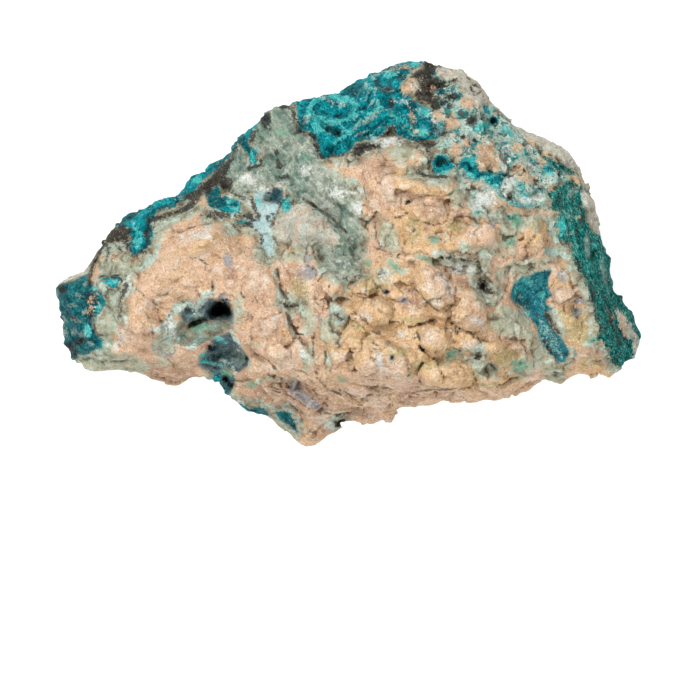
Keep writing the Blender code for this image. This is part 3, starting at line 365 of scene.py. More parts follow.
WHITE_SPOTS = [
    (-4.8, 9.2, 0.8, 0.5, 0), (-11.6, 8.4, 0.9, 0.5, 0), (-1.6, 6.8, 0.7, 0.5, 0),
    (-20.6, -7.8, 0.3, 0.7, -30), (-19.3, -6.6, 0.3, 0.5, -50), (-20.3, -9.4, 0.25, 0.6, 0),
    (-19.2, -10.9, 0.6, 0.2, -20), (-17.8, -5.9, 0.2, 0.3, 0), (-15.8, -4.7, 0.5, 0.18, 0),
    (-22.2, -8.9, 0.6, 0.25, 30), (-9.9, 7.2, 0.9, 0.14, 15), (5.2, 12.8, 1.2, 0.45, 5),
    (1.2, 5.2, 0.6, 0.7, 0), (15.4, 6.2, 1.2, 0.8, -15), (18.4, 7.7, 0.5, 0.9, -20),
    (6.2, -9.5, 0.5, 0.4, 20), (-1.9, 17.5, 0.4, 0.12, -20), (7.6, 19.3, 0.3, 0.3, -30),
    (14.9, 5.5, 0.8, 0.5, 0), (3.6, -12.6, 0.4, 1.2, 10), (11.2, -4.0, 0.35, 0.8, 30),
    (-17.4, 1.9, 1.2, 0.3, 10), (20.3, 5.9, 0.5, 0.4, 0), (2.0, -7.6, 0.4, 0.3, 0),
    (13.9, -10.8, 0.3, 0.2, 0), (-20.6, -8.8, 0.3, 0.9, 10), (12.6, -2.0, 0.8, 0.5, 0),
    (6.6, 17.4, 0.3, 0.12, 0), (14.9, -8.0, 0.3, 0.3, 0), (0.8, 6.8, 0.7, 0.3, 0), (3.4, 12.8, 0.5, 0.18, 0),
    (-8.2, -7.4, 0.5, 0.15, 10), (-6.7, -9.0, 0.12, 0.9, 25), (17.9, 11.3, 0.1, 0.5, 0),
    (9.8, 14.9, 0.15, 0.4, 10), (9.6, -5.9, 0.7, 0.16, -30), (-5.2, -11.6, 0.4, 0.8, 0),
    (21.8, 6.2, 0.5, 0.4, 0), (27.5, 6.2, 0.15, 0.6, 0), (4.0, -2.6, 0.5, 0.5, 0), (16.2, 13.6, 0.3, 0.25, 0),
    (-26.3, -9.8, 0.2, 0.9, -20), (-19.2, 1.6, 0.5, 0.2, 20),
]
DARK_SPOTS = [
    (10.8, 19.2, 1.1, 0.4, -20), (11.9, 18.0, 0.7, 0.4, 10), (10.3, 17.7, 0.8, 0.4, 0),
    (9.0, 18.4, 0.7, 0.5, 0), (-9.6, 15.3, 0.6, 0.8, 0), (14.2, 15.3, 0.5, 0.7, -10),
    (-14.2, 7.9, 0.7, 0.7, 0), (-2.1, 17.7, 0.7, 0.25, -30), (4.9, 17.1, 0.4, 0.6, 0),
    (4.6, 18.8, 0.5, 0.25, 0), (15.5, -3.9, 0.5, 0.8, 10), (-33.3, -4.3, 0.5, 0.5, 0),
    (-32.6, -10.9, 0.7, 0.5, 30), (-31.3, -10.3, 0.7, 0.4, 0), (-31.9, -11.7, 0.3, 0.5, 0),
    (-18.7, 6.5, 0.6, 0.35, 0), (-30.0, -4.9, 0.5, 0.3, 0), (-29.4, -0.4, 0.3, 0.6, -20),
    (-14.9, -11.9, 0.1, 0.1, 0), (-18.7, -6.6, 0.4, 0.4, 0), (-11.2, 12.8, 0.35, 0.35, 0),
    (-23.8, 0.0, 0.4, 0.3, 0), (6.5, 21.2, 0.4, 0.3, 0), (14.9, -12.0, 0.4, 0.4, 0),
    (18.6, 6.5, 0.6, 0.4, -30), (21.6, 8.2, 0.5, 0.4, 0), (22.2, 7.4, 0.4, 0.3, 0), (13.3, 13.2, 0.3, 0.3, 0),
    (12.4, 19.8, 0.5, 0.2, 0), (-32.2, -7.5, 0.6, 0.14, -20), (10.2, 16.9, 0.6, 0.4, 0),
    (11.6, 16.8, 0.4, 0.5, 0),
]
# Lines of each kind: half width, then points
DARK_LINES = [
    (0.09, [(-11.3, 6.6), (-10.8, 5.2), (-10.4, 4.2), (-11.2, 3.2), (-10.1, 1.8), (-9.9, 0.3), (-9.3, -0.8)]),
    (0.34, [(-23.1, 3.8), (-21.8, 4.1), (-20.4, 4.6), (-19.0, 5.0), (-18.2, 5.6), (-17.6, 6.2)]),
    (0.55, [(-18.0, 6.4), (-17.2, 7.0), (-16.8, 7.6)]),
    (0.6, [(-16.6, 7.4), (-15.7, 8.3), (-15.0, 9.1), (-14.3, 9.8)]),
    (0.26, [(-14.3, 9.8), (-13.6, 10.8), (-13.1, 12.0)]),
    (0.34, [(-30.0, -3.7), (-29.9, -2.4), (-29.3, -0.8), (-28.8, 0.6), (-28.2, 1.4), (-27.1, 2.6)]),
    (0.16, [(-30.3, -5.0), (-30.2, -6.2), (-29.9, -7.0), (-30.0, -8.0)]),
    (0.2, [(-25.5, 2.6), (-25.6, 0.6), (-24.9, -0.6), (-24.2, -0.2), (-23.5, 0.1), (-23.3, 1.2), (-23.5, 2.4),
        (-23.1, 3.6)]),
    (0.12, [(-28.9, -2.8), (-27.6, -2.9), (-26.4, -2.7), (-26.3, -3.5), (-26.9, -4.7), (-27.8, -4.1)]),
    (0.12, [(-28.2, 1.0), (-27.8, 0.0), (-28.3, -1.2)]), (0.12, [(-26.9, 0.8), (-26.3, 0.0), (-27.2, -0.6)]),
    (0.22, [(-4.0, 13.2), (-3.7, 12.1), (-3.4, 11.2), (-3.0, 10.8)]),
    (0.22, [(-6.1, 14.8), (-5.8, 14.0), (-4.4, 13.6)]), (0.12, [(-2.2, 11.0), (-0.8, 11.1), (0.2, 11.4)]),
    (0.16, [(5.3, 14.4), (5.4, 13.4), (6.4, 12.9), (7.2, 12.6)]),
    (0.22, [(22.8, -7.1), (23.5, -8.2), (24.2, -9.3)]), (0.2, [(24.6, -11.9), (25.3, -11.9)]),
    (0.12, [(10.6, -0.7), (11.6, -0.8), (13.0, -1.0), (15.0, -1.2)]),
    (0.24, [(15.1, -1.0), (15.0, -2.6), (15.3, -4.2), (16.6, -4.7)]),
    (0.16, [(17.5, 12.0), (17.6, 10.8), (18.2, 10.2), (18.4, 11.0)]),
    (0.1, [(16.5, 5.8), (18.0, 5.0), (19.6, 4.6), (20.8, 4.6), (22.6, 5.4)]),
    (0.08, [(17.8, 5.5), (19.4, 5.2), (20.4, 4.9)]),
    (0.14, [(7.4, 9.2), (8.2, 9.0), (8.8, 8.7), (10.2, 8.6), (11.2, 8.6)]),
    (0.18, [(9.1, 11.8), (9.5, 11.0), (9.4, 10.5)]), (0.12, [(9.4, 10.5), (9.2, 9.9), (9.7, 9.1)]),
    (0.14, [(11.0, 11.5), (11.9, 10.9)]), (0.24, [(-16.2, 4.2), (-15.2, 4.4), (-14.2, 4.2), (-13.9, 3.9)]),
    (0.2, [(-13.2, 3.1), (-12.4, 2.9), (-11.6, 3.2)]),
    (0.22, [(-12.9, 4.0), (-12.0, 4.2), (-11.4, 4.4), (-11.2, 3.8)]),
    (0.2, [(-11.6, 9.6), (-10.9, 9.9), (-10.1, 10.1), (-10.1, 11.2)]),
    (0.2, [(-11.2, 12.9), (-11.0, 13.7), (-10.6, 14.0)]), (0.3, [(-8.4, 11.6), (-8.2, 10.6), (-8.0, 9.9)]),
    (0.22, [(-8.3, 8.7), (-7.4, 8.7), (-6.8, 8.6)]), (0.16, [(-13.9, 7.2), (-13.0, 6.6), (-12.0, 6.2)]),
    (0.16, [(-9.4, 4.1), (-9.1, 3.5), (-8.5, 3.7), (-8.7, 4.3)]),
    (0.1, [(-8.3, 4.5), (-8.0, 5.1), (-7.9, 5.8)]), (0.16, [(-6.3, 16.2), (-6.1, 15.2)]),
    (0.26, [(-7.8, 16.8), (-6.9, 16.9)]), (0.18, [(-9.8, 14.6), (-9.0, 14.2)]),
    (0.12, [(21.8, 12.5), (22.2, 11.5)]), (0.2, [(11.2, 15.0), (11.4, 14.0), (10.9, 13.4)]),
    (0.14, [(10.6, 21.7), (12.4, 21.5)]), (0.16, [(13.8, 20.2), (14.4, 19.5), (15.2, 19.1)]),
    (0.12, [(14.1, 18.9), (14.6, 18.3)]), (0.12, [(12.2, 12.1), (13.2, 12.0)]),
    (0.26, [(-1.3, -19.9), (-0.8, -19.7), (-0.4, -20.0)]), (0.2, [(-7.4, -6.1), (-6.6, -6.4), (-5.8, -6.1)]),
    (0.2, [(-1.4, -7.3), (-1.1, -7.7)]), (0.12, [(-25.6, -3.9), (-26.4, -5.4), (-26.2, -6.6), (-26.4, -7.6)]),
    (0.1, [(24.4, 6.4), (24.6, 4.8), (25.2, 3.4)]), (0.1, [(26.6, 5.6), (27.0, 4.0), (26.6, 2.6)]),
    (0.1, [(28.0, -4.4), (28.6, -7.2), (29.4, -9.4)]), (0.14, [(29.6, -5.2), (30.4, -8.0), (31.6, -10.6)]),
    (0.14, [(26.2, -0.8), (27.2, -2.4), (28.2, -4.0)]), (0.18, [(31.5, -8.4), (32.1, -10.0)]),
    (0.08, [(20.9, -5.2), (21.4, -6.6), (22.0, -7.6)]), (0.1, [(22.6, -10.2), (23.4, -11.6), (24.2, -12.2)]),
]
CRACKS = [
    (0.14, [(-8.2, -2.0), (-8.0, -3.2), (-7.8, -4.4), (-7.1, -5.4)]),
    (0.2, [(-7.2, -7.1), (-6.5, -8.4), (-5.8, -9.8), (-5.1, -10.8)]),
    (0.07, [(-10.4, -7.8), (-9.2, -7.6), (-8.2, -7.1), (-7.7, -7.0)]),
    (0.14, [(-5.2, 6.1), (-4.0, 5.3), (-3.0, 4.7), (-1.6, 3.6), (-0.8, 2.8), (-0.2, 2.2)]),
    (0.07, [(-0.6, -3.1), (1.2, -2.8), (2.6, -3.0), (3.3, -4.2), (3.5, -5.0)]),
    (0.06, [(0.1, -5.0), (0.9, -4.8), (2.4, -5.1), (3.6, -5.1), (4.8, -5.8), (5.4, -6.8)]),
    (0.08, [(0.3, -5.8), (0.7, -6.8), (1.0, -7.6), (0.4, -8.1), (-0.8, -7.9)]),
    (0.06, [(-3.9, -5.6), (-3.2, -6.3), (-2.4, -5.6), (-2.2, -6.4), (-3.0, -6.9), (-2.4, -4.6),
        (-2.2, -3.8)]),
    (0.06, [(1.5, -10.2), (1.5, -11.2), (1.0, -11.7), (0.3, -11.6), (0.3, -12.4), (-0.9, -12.8),
        (-1.4, -13.6)]),
    (0.08, [(7.2, -4.1), (8.0, -4.6), (8.6, -5.4), (9.6, -6.4), (10.4, -6.9), (11.4, -6.8), (12.3, -5.8)]),
    (0.12, [(8.0, -8.4), (8.8, -8.2), (9.8, -7.9)]), (0.08, [(8.1, -8.5), (7.9, -9.4), (8.2, -10.2)]),
    (0.12, [(8.0, -10.8), (8.6, -11.4), (9.4, -12.2)]),
    (0.08, [(12.4, -3.4), (13.2, -3.8), (14.6, -4.4), (15.2, -4.2)]),
    (0.08, [(12.3, -4.2), (12.2, -5.6), (12.4, -7.0), (11.8, -8.0)]),
    (0.08, [(12.3, -8.6), (13.4, -9.2), (14.6, -9.7), (15.2, -10.4)]),
    (0.07, [(10.6, -8.9), (11.8, -8.8), (12.6, -9.4)]),
    (0.08, [(11.2, -11.4), (11.9, -11.0), (12.8, -11.4), (13.2, -12.1)]),
    (0.07, [(15.2, -10.2), (16.3, -10.4), (17.8, -10.0), (19.4, -10.2), (20.4, -11.0), (20.7, -11.8)]),
    (0.1, [(6.6, -16.4), (8.0, -16.1), (10.0, -15.9), (12.0, -15.9), (14.2, -15.7), (14.7, -14.8),
        (14.2, -13.6)]), (0.1, [(13.3, 3.2), (14.2, 3.6), (15.2, 3.6), (16.1, 3.2)]),
    (0.08, [(19.4, -0.8), (20.6, -0.6), (22.0, -0.1), (22.9, 1.0), (23.1, 2.4)]),
    (0.05, [(1.9, 8.8), (1.8, 7.4), (2.0, 6.0), (1.6, 4.8), (1.5, 3.6)]),
    (0.05, [(3.1, 3.2), (3.2, 1.4), (4.0, 0.2), (5.0, -0.6)]),
    (0.07, [(-4.3, -12.2), (-3.7, -13.2), (-2.8, -13.0), (-2.6, -12.0), (-2.8, -11.2)]),
    (0.06, [(-2.2, -2.3), (-3.0, -2.6), (-3.5, -3.4)]),
    (0.06, [(6.6, 5.4), (7.6, 6.1), (8.8, 6.4), (10.8, 6.3), (11.8, 6.6), (12.4, 7.4)]),
    (0.07, [(11.5, 5.9), (11.6, 4.6), (11.2, 3.4), (9.8, 3.0), (8.8, 3.3)]),
    (0.05, [(11.9, 5.6), (12.8, 5.4), (13.6, 4.6)]),
    (0.06, [(9.2, 1.6), (10.2, 1.7), (11.0, 1.0), (11.6, 1.2), (11.9, 2.4)]),
    (0.07, [(10.8, 0.6), (11.4, -0.2), (12.2, -0.6)]), (0.05, [(-25.0, -3.8), (-23.2, -5.4), (-21.4, -6.6)]),
    (0.05, [(-21.4, -4.2), (-20.4, -3.6), (-19.0, -2.8)]),
    (0.05, [(-19.9, 2.0), (-18.8, 2.6), (-17.6, 3.0), (-15.4, 3.4)]),
    (0.05, [(-18.4, -0.7), (-17.2, -0.9), (-16.0, -1.6)]),
    (0.08, [(-12.2, -3.8), (-12.4, -5.0), (-12.0, -5.4)]),
    (0.05, [(-11.2, -8.8), (-10.6, -8.6), (-10.0, -9.0)]),
    (0.06, [(-7.8, -9.2), (-7.2, -9.8), (-7.6, -10.6)]),
    (0.09, [(-10.9, -11.7), (-9.8, -12.2), (-8.8, -13.0), (-8.2, -13.9), (-8.6, -14.5), (-9.4, -14.1)]),
    (0.09, [(-13.2, -14.9), (-12.4, -15.0), (-11.6, -14.8)]),
    (0.09, [(-3.8, -14.4), (-3.2, -15.0), (-2.4, -15.9), (-1.2, -16.3), (0.2, -17.0), (1.6, -17.8)]),
    (0.06, [(-1.1, -15.9), (0.0, -16.5), (1.2, -16.9), (2.2, -17.2)]),
    (0.06, [(0.6, -15.3), (2.2, -15.6), (3.4, -15.4)]), (0.07, [(18.0, -13.4), (18.3, -14.2), (18.9, -14.8)]),
    (0.07, [(-5.2, -15.0), (-4.2, -15.9), (-3.4, -17.0), (-2.4, -17.9)]),
    (0.06, [(-9.0, -16.0), (-7.4, -16.4), (-5.6, -17.4), (-4.4, -18.2)]),
    (0.06, [(-3.0, -18.6), (-1.6, -18.9), (0.2, -18.6), (1.6, -18.2)]),
    (0.05, [(-6.8, -17.6), (-5.6, -18.8), (-5.2, -20.0)]), (0.06, [(3.0, -16.0), (4.6, -16.6), (5.2, -17.8)]),
    (0.06, [(23.2, -2.4), (23.8, -3.4), (23.2, -4.2)]),
    (0.07, [(26.3, -3.9), (26.4, -4.8), (25.4, -5.6), (24.6, -6.0)]),
    (0.07, [(7.0, -12.9), (7.5, -13.5), (6.8, -14.4)]), (0.06, [(2.8, -10.5), (3.6, -11.0), (4.4, -11.2)]),
    (0.05, [(4.4, 4.6), (5.4, 3.8), (6.6, 4.2)]), (0.06, [(6.9, -16.9), (7.6, -16.4), (8.4, -16.6)]),
    (0.06, [(4.8, -7.8), (4.6, -8.6)]),
]
MINT_LINES = [
    (0.2, [(-8.4, -2.2), (-8.3, -3.6), (-8.0, -5.0), (-7.6, -5.6)]),
    (0.22, [(-6.9, -8.0), (-6.3, -9.6), (-5.6, -10.8)]), (0.3, [(-5.2, -11.0), (-5.0, -12.2)]),
    (0.4, [(-22.0, -9.0), (-20.9, -8.3), (-20.4, -7.4), (-19.6, -6.6), (-18.9, -6.1), (-18.1, -6.2),
        (-17.7, -6.6)]), (0.42, [(-20.9, -10.3), (-20.6, -9.2), (-20.3, -8.2)]),
    (0.32, [(-17.5, -6.4), (-16.9, -5.4), (-16.4, -4.9), (-15.7, -4.7)]),
    (0.2, [(-19.9, -10.7), (-19.2, -11.1), (-18.6, -11.3), (-17.8, -11.1)]),
    (0.16, [(-14.9, -12.4), (-14.3, -12.7), (-13.6, -13.2), (-13.2, -14.0)]),
    (0.22, [(-13.5, -9.1), (-13.2, -9.8), (-12.4, -10.8)]),
    (0.2, [(-1.3, -8.0), (-1.4, -9.2), (-1.7, -10.4)]), (0.16, [(-0.3, -3.3), (-0.4, -4.8)]),
    (0.2, [(-1.7, -5.5), (-1.5, -6.8)]),
    (0.14, [(-9.0, 2.4), (-8.6, 1.4), (-8.7, 0.2), (-9.1, -0.7), (-9.9, 0.0)]),
    (0.2, [(-29.4, -3.2), (-28.8, -3.8), (-28.0, -4.4)]),
    (0.3, [(-23.0, -0.6), (-23.4, -1.6), (-24.6, -2.2)]), (0.2, [(-21.9, 0.6), (-22.3, -0.6)]),
    (0.2, [(-18.6, 4.9), (-18.0, 4.5), (-17.0, 4.7)]), (0.12, [(-11.4, -12.6), (-11.6, -13.6)]),
    (0.3, [(23.4, 4.0), (23.6, 2.6), (23.9, 1.4)]), (0.34, [(23.0, 0.2), (24.4, -0.2), (25.4, -0.6)]),
    (0.1, [(24.3, 5.4), (25.4, 4.2), (26.4, 3.4)]),
    (0.1, [(29.8, -4.4), (30.4, -6.0), (30.8, -7.6), (31.6, -9.4), (32.2, -10.8)]),
    (0.1, [(27.0, -1.0), (27.8, -2.6), (28.6, -4.0), (29.8, -4.4), (30.8, -4.8)]),
    (0.1, [(20.6, 13.4), (21.6, 11.6), (22.8, 10.4), (24.2, 9.2)]),
]
# Lines of light cyan along the crusts' rims: painted highlights
CYAN_HIGHLIGHT_LINES = [
    (0.32, [(-4.6, 16.4), (-4.3, 17.2), (-3.4, 17.8), (-1.6, 18.1), (0.0, 17.7), (0.8, 16.9), (0.6, 15.9),
        (-0.4, 15.3)]), (0.3, [(-4.5, 16.2), (-3.8, 15.5), (-2.6, 15.2), (-1.2, 15.2)]),
    (0.22, [(-1.6, 12.6), (-0.6, 13.3), (0.3, 13.8)]), (0.12, [(-0.9, 15.0), (-0.6, 14.0), (-1.0, 13.1)]),
    (0.14, [(-3.0, 15.0), (-3.0, 14.2), (-2.4, 13.6)]), (0.12, [(17.8, 5.8), (19.2, 5.4), (20.5, 5.1)]),
    (0.2, [(19.3, 8.4), (20.0, 7.2), (20.6, 5.8), (20.6, 4.9)]),
    (0.12, [(10.3, 11.3), (11.4, 11.0), (12.0, 10.4), (12.5, 9.9)]),
    (0.14, [(9.6, 9.3), (10.1, 8.9), (10.8, 8.9), (11.6, 9.3)]),
    (0.13, [(13.4, 9.3), (14.4, 8.7), (15.6, 8.4), (16.8, 8.9), (17.8, 8.8)]),
    (0.12, [(15.2, 8.0), (16.4, 7.7), (17.4, 7.4)]),
    (0.12, [(-13.9, 5.9), (-13.2, 5.9), (-12.6, 5.4), (-12.9, 5.0), (-13.6, 5.1), (-13.9, 5.6)]),
    (0.1, [(18.9, -5.7), (19.8, -6.4), (20.8, -7.4)]), (0.1, [(0.8, 14.8), (2.4, 16.0), (3.4, 16.6)]),
    (0.1, [(5.2, 16.2), (6.4, 15.6), (7.4, 14.2)]), (0.1, [(2.2, 17.6), (2.6, 18.8), (2.4, 19.4)]),
]
TAN_LINES = [
    (0.1, [(-29.6, -3.2), (-29.2, -1.8), (-28.7, -0.6)]), (0.12, [(16.8, 5.4), (18.2, 4.7), (20.6, 4.3)]),
    (0.1, [(31.4, -7.6), (32.2, -9.2)]), (0.08, [(23.0, 11.6), (24.4, 10.6)]),
]
FLOW_LINES = [
    (0.08, [(0.7, 14.5), (1.6, 15.2), (2.6, 15.9), (3.8, 16.3), (5.0, 16.6)]),
    (0.07, [(0.3, 14.0), (1.4, 14.7), (2.6, 15.4), (3.6, 15.8)]),
    (0.06, [(0.7, 13.5), (1.5, 13.8), (2.3, 14.1)]),
    (0.06, [(0.1, 15.2), (1.2, 16.0), (2.2, 16.8), (3.0, 17.6)]),
    (0.07, [(3.6, 21.2), (4.6, 21.4), (6.2, 21.6)]), (0.06, [(1.9, 17.4), (2.1, 18.6), (1.9, 19.8)]),
    (0.06, [(2.9, 17.6), (3.1, 18.8), (2.9, 20.2)]),
    (0.06, [(1.2, 13.0), (2.4, 13.4), (3.4, 14.2), (4.2, 15.0)]),
    (0.06, [(6.2, 14.2), (7.0, 15.0), (7.4, 16.2)]), (0.06, [(-4.9, 15.8), (-4.6, 14.9), (-3.6, 14.0)]),
    (0.06, [(7.8, 13.4), (8.6, 14.6), (8.8, 15.8)]), (0.06, [(9.2, 13.4), (9.9, 14.4), (9.6, 15.4)]),
    (0.05, [(-2.4, 11.8), (-1.6, 12.6), (-1.4, 13.2)]),
]
# Openings, or raised floors where the depth is negative: depth, softness of the edge, outline
BASINS = [
    (-0.6, 0.8, VUG_UPPER), (-4.0, 0.9, VUG_LEFT), (0.4, 0.9, VUG_LOWER), (0.4, 0.3, BLUE_STRIP),
    (1.2, 0.3, VUG_MOUTH), (0.9, 0.25, TOP_SLOT), (-1.0, 0.3, POCKET), (0.3, 0.2, POCKET_FLOOR),
    (0.5, 0.35, BLUE_MOUTH),
]
# Small holes: place, half width, half length, turn in degrees, depth. The material paints them near black, as
# painted shade.
HOLES = [
    (-1.25, 13.7, 0.4, 0.35, -30, 0.5), (-16.0, -11.1, 0.5, 0.35, -20, 1.2),
    (-14.4, -14.7, 0.35, 0.4, 20, 1.6), (-13.8, -15.4, 0.3, 0.4, 20, 1.3),
    (-16.2, -13.2, 0.6, 0.16, -20, 0.7), (-15.5, -13.4, 0.4, 0.14, -10, 0.6),
    (16.8, 15.2, 0.35, 0.35, 30, 1.6), (14.7, 13.0, 0.25, 0.2, 20, 1.4), (14.1, 9.7, 0.2, 0.2, 0, 1.0),
    (15.5, -3.9, 0.35, 0.5, 20, 1.2), (19.2, 9.8, 0.18, 0.2, 0, 0.8), (19.7, 9.9, 0.12, 0.12, 0, 0.6),
    (20.3, 9.4, 0.2, 0.2, 0, 0.8), (-0.8, -19.9, 0.4, 0.25, 0, 1.0), (-6.4, -6.2, 0.5, 0.16, 0, 0.7),
    (8.5, -11.3, 0.45, 0.16, -40, 0.8), (11.9, -8.3, 0.25, 0.25, 0, 0.6), (6.9, 5.75, 0.25, 0.1, 20, 0.6),
    (5.0, -12.2, 0.22, 0.35, 0, 0.4), (10.6, -0.7, 0.2, 0.12, 0, 0.6), (-9.0, 3.9, 0.16, 0.16, 0, 0.5),
    (-17.1, 4.3, 0.4, 0.12, 10, 0.6), (4.2, -4.7, 0.3, 0.22, 0, 0.6), (5.8, -0.5, 0.25, 0.2, 0, 0.5),
    (7.1, -1.3, 0.3, 0.2, 0, 0.5), (-22.6, -9.5, 0.22, 0.3, 0, 0.8), (-15.7, -3.9, 0.12, 0.5, 5, 0.6),
    (-11.8, -12.3, 0.2, 0.25, 0, 0.5), (-3.8, 5.2, 0.3, 0.1, -35, 0.4), (-14.0, -5.5, 0.3, 0.12, 0, 0.5),
    (-9.7, -6.2, 0.12, 0.14, 0, 0.4), (7.2, -8.7, 0.3, 0.12, 0, 0.5), (18.0, 11.2, 0.1, 0.5, 0, 0.6),
]
# Lumps: place, half width, half length, turn in degrees, height
LUMPS = [
    (9.8, -4.3, 2.9, 2.0, -38, 0.9), (14.0, -6.5, 2.0, 2.3, 10, 0.9), (10.1, -10.0, 1.9, 1.7, 0, 0.8),
    (13.8, -10.6, 1.6, 1.1, -10, 0.7), (1.8, -4.0, 1.6, 1.0, 5, 0.6), (2.6, -6.8, 2.0, 1.5, -8, 0.8),
    (-0.2, -6.8, 0.9, 1.3, 0, 0.5), (-2.3, -3.8, 1.3, 1.3, 0, 0.6), (-3.1, -5.6, 0.8, 0.5, -20, 0.5),
    (0.3, -10.3, 1.4, 1.4, 0, 0.7), (-1.0, -12.0, 1.3, 1.0, 0, 0.6), (-3.5, -12.1, 1.0, 0.9, 30, 0.6),
    (3.9, -12.6, 3.3, 2.5, -20, 0.9), (-1.5, -14.6, 2.2, 1.3, 8, 0.8), (11.2, -14.2, 3.1, 1.5, 3, 0.8),
    (16.5, -11.8, 1.5, 1.4, 0, 0.5), (16.0, -14.8, 1.3, 1.0, 0, 0.5), (14.8, 2.0, 2.2, 1.3, 15, 0.7),
    (8.5, 7.5, 3.8, 1.1, -8, 0.6), (9.2, 4.6, 2.3, 1.2, 10, 0.5), (4.3, 7.0, 1.0, 2.0, 12, 0.35),
    (8.0, 10.6, 1.3, 1.2, 0, 0.5), (21.3, 2.2, 1.7, 2.0, 0, 0.6), (24.7, -4.8, 1.3, 1.4, 0, 0.6),
    (16.0, 10.8, 1.0, 1.5, 0, 0.5), (19.8, 9.6, 0.8, 0.6, 0, 0.4), (-17.5, 1.5, 2.6, 1.3, 12, 0.5),
    (-9.2, -8.7, 1.2, 1.1, 20, 0.5), (-9.0, -13.3, 1.3, 0.6, -20, 0.5), (4.6, 1.6, 1.1, 2.1, 20, 0.35),
    (11.6, 1.8, 0.7, 0.9, 0, 0.4), (18.4, 7.8, 0.5, 0.8, -20, 0.5), (6.3, -13.6, 1.2, 0.8, 0, 0.4),
]
# Steps in the face: height of the left side seen along the line, reach, then points
LEDGES = [
    (-0.9, 1.6, [(-8.2, -1.6), (-8.0, -3.5), (-7.2, -5.6), (-6.6, -8.0), (-4.9, -10.8), (-4.4, -12.6)]),
    (-0.8, 1.8, [(-5.4, 6.1), (-4.0, 5.2), (-2.8, 4.3), (-1.2, 3.1), (0.0, 1.6), (0.4, -0.6), (-0.2, -2.6)]),
    (0.9, 1.6, [(-12.0, -13.6), (-9.0, -14.3), (-6.0, -14.4), (-3.8, -14.9), (-2.5, -16.0), (0.0, -16.8)]),
    (0.7, 1.2, [(5.6, -16.4), (9.0, -16.1), (14.4, -15.9), (19.0, -14.6), (22.6, -13.8)]),
    (-0.8, 1.0, [(-4.4, 13.6), (-3.4, 11.4), (-1.6, 11.0), (0.4, 11.4), (1.4, 12.6), (3.6, 13.2), (5.4, 13.4),
        (6.8, 12.7), (9.6, 12.7), (11.2, 13.8)]),
    (0.6, 1.0, [(-0.4, -2.9), (1.4, -2.8), (2.9, -3.2), (3.5, -4.8), (6.4, -5.4)]),
    (0.5, 1.0, [(12.8, 8.2), (14.0, 6.8), (16.5, 5.4), (18.6, 4.7), (21.0, 4.3)]),
    (0.6, 1.2, [(10.6, -0.8), (13.0, -1.1), (15.0, -1.2), (15.4, -4.4), (16.2, -6.4)]),
    (-0.5, 0.9, [(-23.4, 3.5), (-20.6, 4.4), (-18.0, 5.2), (-16.6, 7.4), (-14.4, 10.6), (-13.6, 12.4)]),
    (0.5, 0.9, [(-21.9, 1.0), (-23.0, -1.4), (-25.2, -3.2), (-26.2, -5.6), (-26.8, -8.6), (-27.3, -10.4)]),
]
# Thin layers and rims, or grooves where the height is negative: height, half width, then points
RIDGES = [
    (0.7, 0.35, [(-13.0, -15.2), (-9.0, -15.7), (-5.4, -16.4), (-3.0, -18.0)]),
    (0.6, 0.3, [(-12.6, -16.4), (-9.0, -16.8), (-6.0, -17.6), (-3.6, -19.0)]),
    (0.6, 0.3, [(-10.4, -17.6), (-7.4, -18.0), (-5.2, -19.2), (-3.4, -20.4)]),
    (0.7, 0.3, [(-1.4, -16.2), (1.0, -17.2), (3.0, -17.6), (5.2, -16.6)]),
    (0.6, 0.3, [(-1.8, -17.8), (0.6, -18.6), (3.0, -18.4), (4.6, -18.6)]),
    (0.5, 0.3, [(-1.0, -19.2), (1.6, -19.6), (3.6, -19.4)]),
    (0.7, 0.22, [(-4.9, 16.4), (-4.4, 17.2), (-3.4, 17.8), (-1.6, 18.0), (0.0, 17.7), (0.8, 16.9),
        (0.6, 15.9), (-0.6, 15.2), (-2.6, 15.1), (-4.0, 15.6), (-4.9, 16.4)]),
    (0.6, 0.25, [(-1.7, 12.7), (-0.6, 13.3), (0.6, 14.0)]),
    (0.5, 0.25, [(0.6, 13.2), (2.4, 14.2), (4.2, 15.4), (5.2, 16.2)]),
    (0.45, 0.22, [(0.4, 14.2), (2.2, 15.4), (4.0, 16.4)]),
    (0.45, 0.22, [(0.4, 15.4), (2.0, 16.6), (3.4, 17.6)]),
    (0.5, 0.2, [(9.3, 10.4), (9.9, 9.1), (11.2, 8.8), (12.4, 9.6), (12.2, 10.8), (11.0, 11.5), (9.8, 11.2),
        (9.3, 10.4)]),
    (0.8, 0.28, [(-20.4, -10.6), (-20.2, -8.6), (-19.6, -6.8), (-18.6, -5.9), (-17.4, -6.3), (-16.7, -5.0),
        (-15.4, -4.9)]), (0.5, 0.3, [(-21.9, -9.0), (-20.9, -8.2), (-20.3, -7.3), (-19.4, -6.4)]),
    (0.4, 0.2, [(-13.9, 5.9), (-13.2, 6.0), (-12.5, 5.4), (-12.8, 4.9), (-13.6, 5.0), (-13.9, 5.9)]),
    (0.4, 0.2, [(17.7, 12.2), (17.3, 11.4), (17.6, 10.4), (18.4, 10.3), (18.5, 11.4), (17.7, 12.2)]),
    (-0.5, 0.3, [(21.6, 12.4), (22.6, 11.5), (24.0, 10.6), (25.6, 10.0)]),
    (-0.5, 0.35, [(22.9, 8.8), (23.2, 6.4), (24.2, 4.6), (24.0, 2.0)]),
]
# The right band's fibres run along this line
FIBRE_LINE = [(22.6, 13.0), (24.4, 9.0), (25.6, 4.0), (26.8, 0.0), (28.4, -4.0), (30.0, -8.0), (31.8, -13.0)]

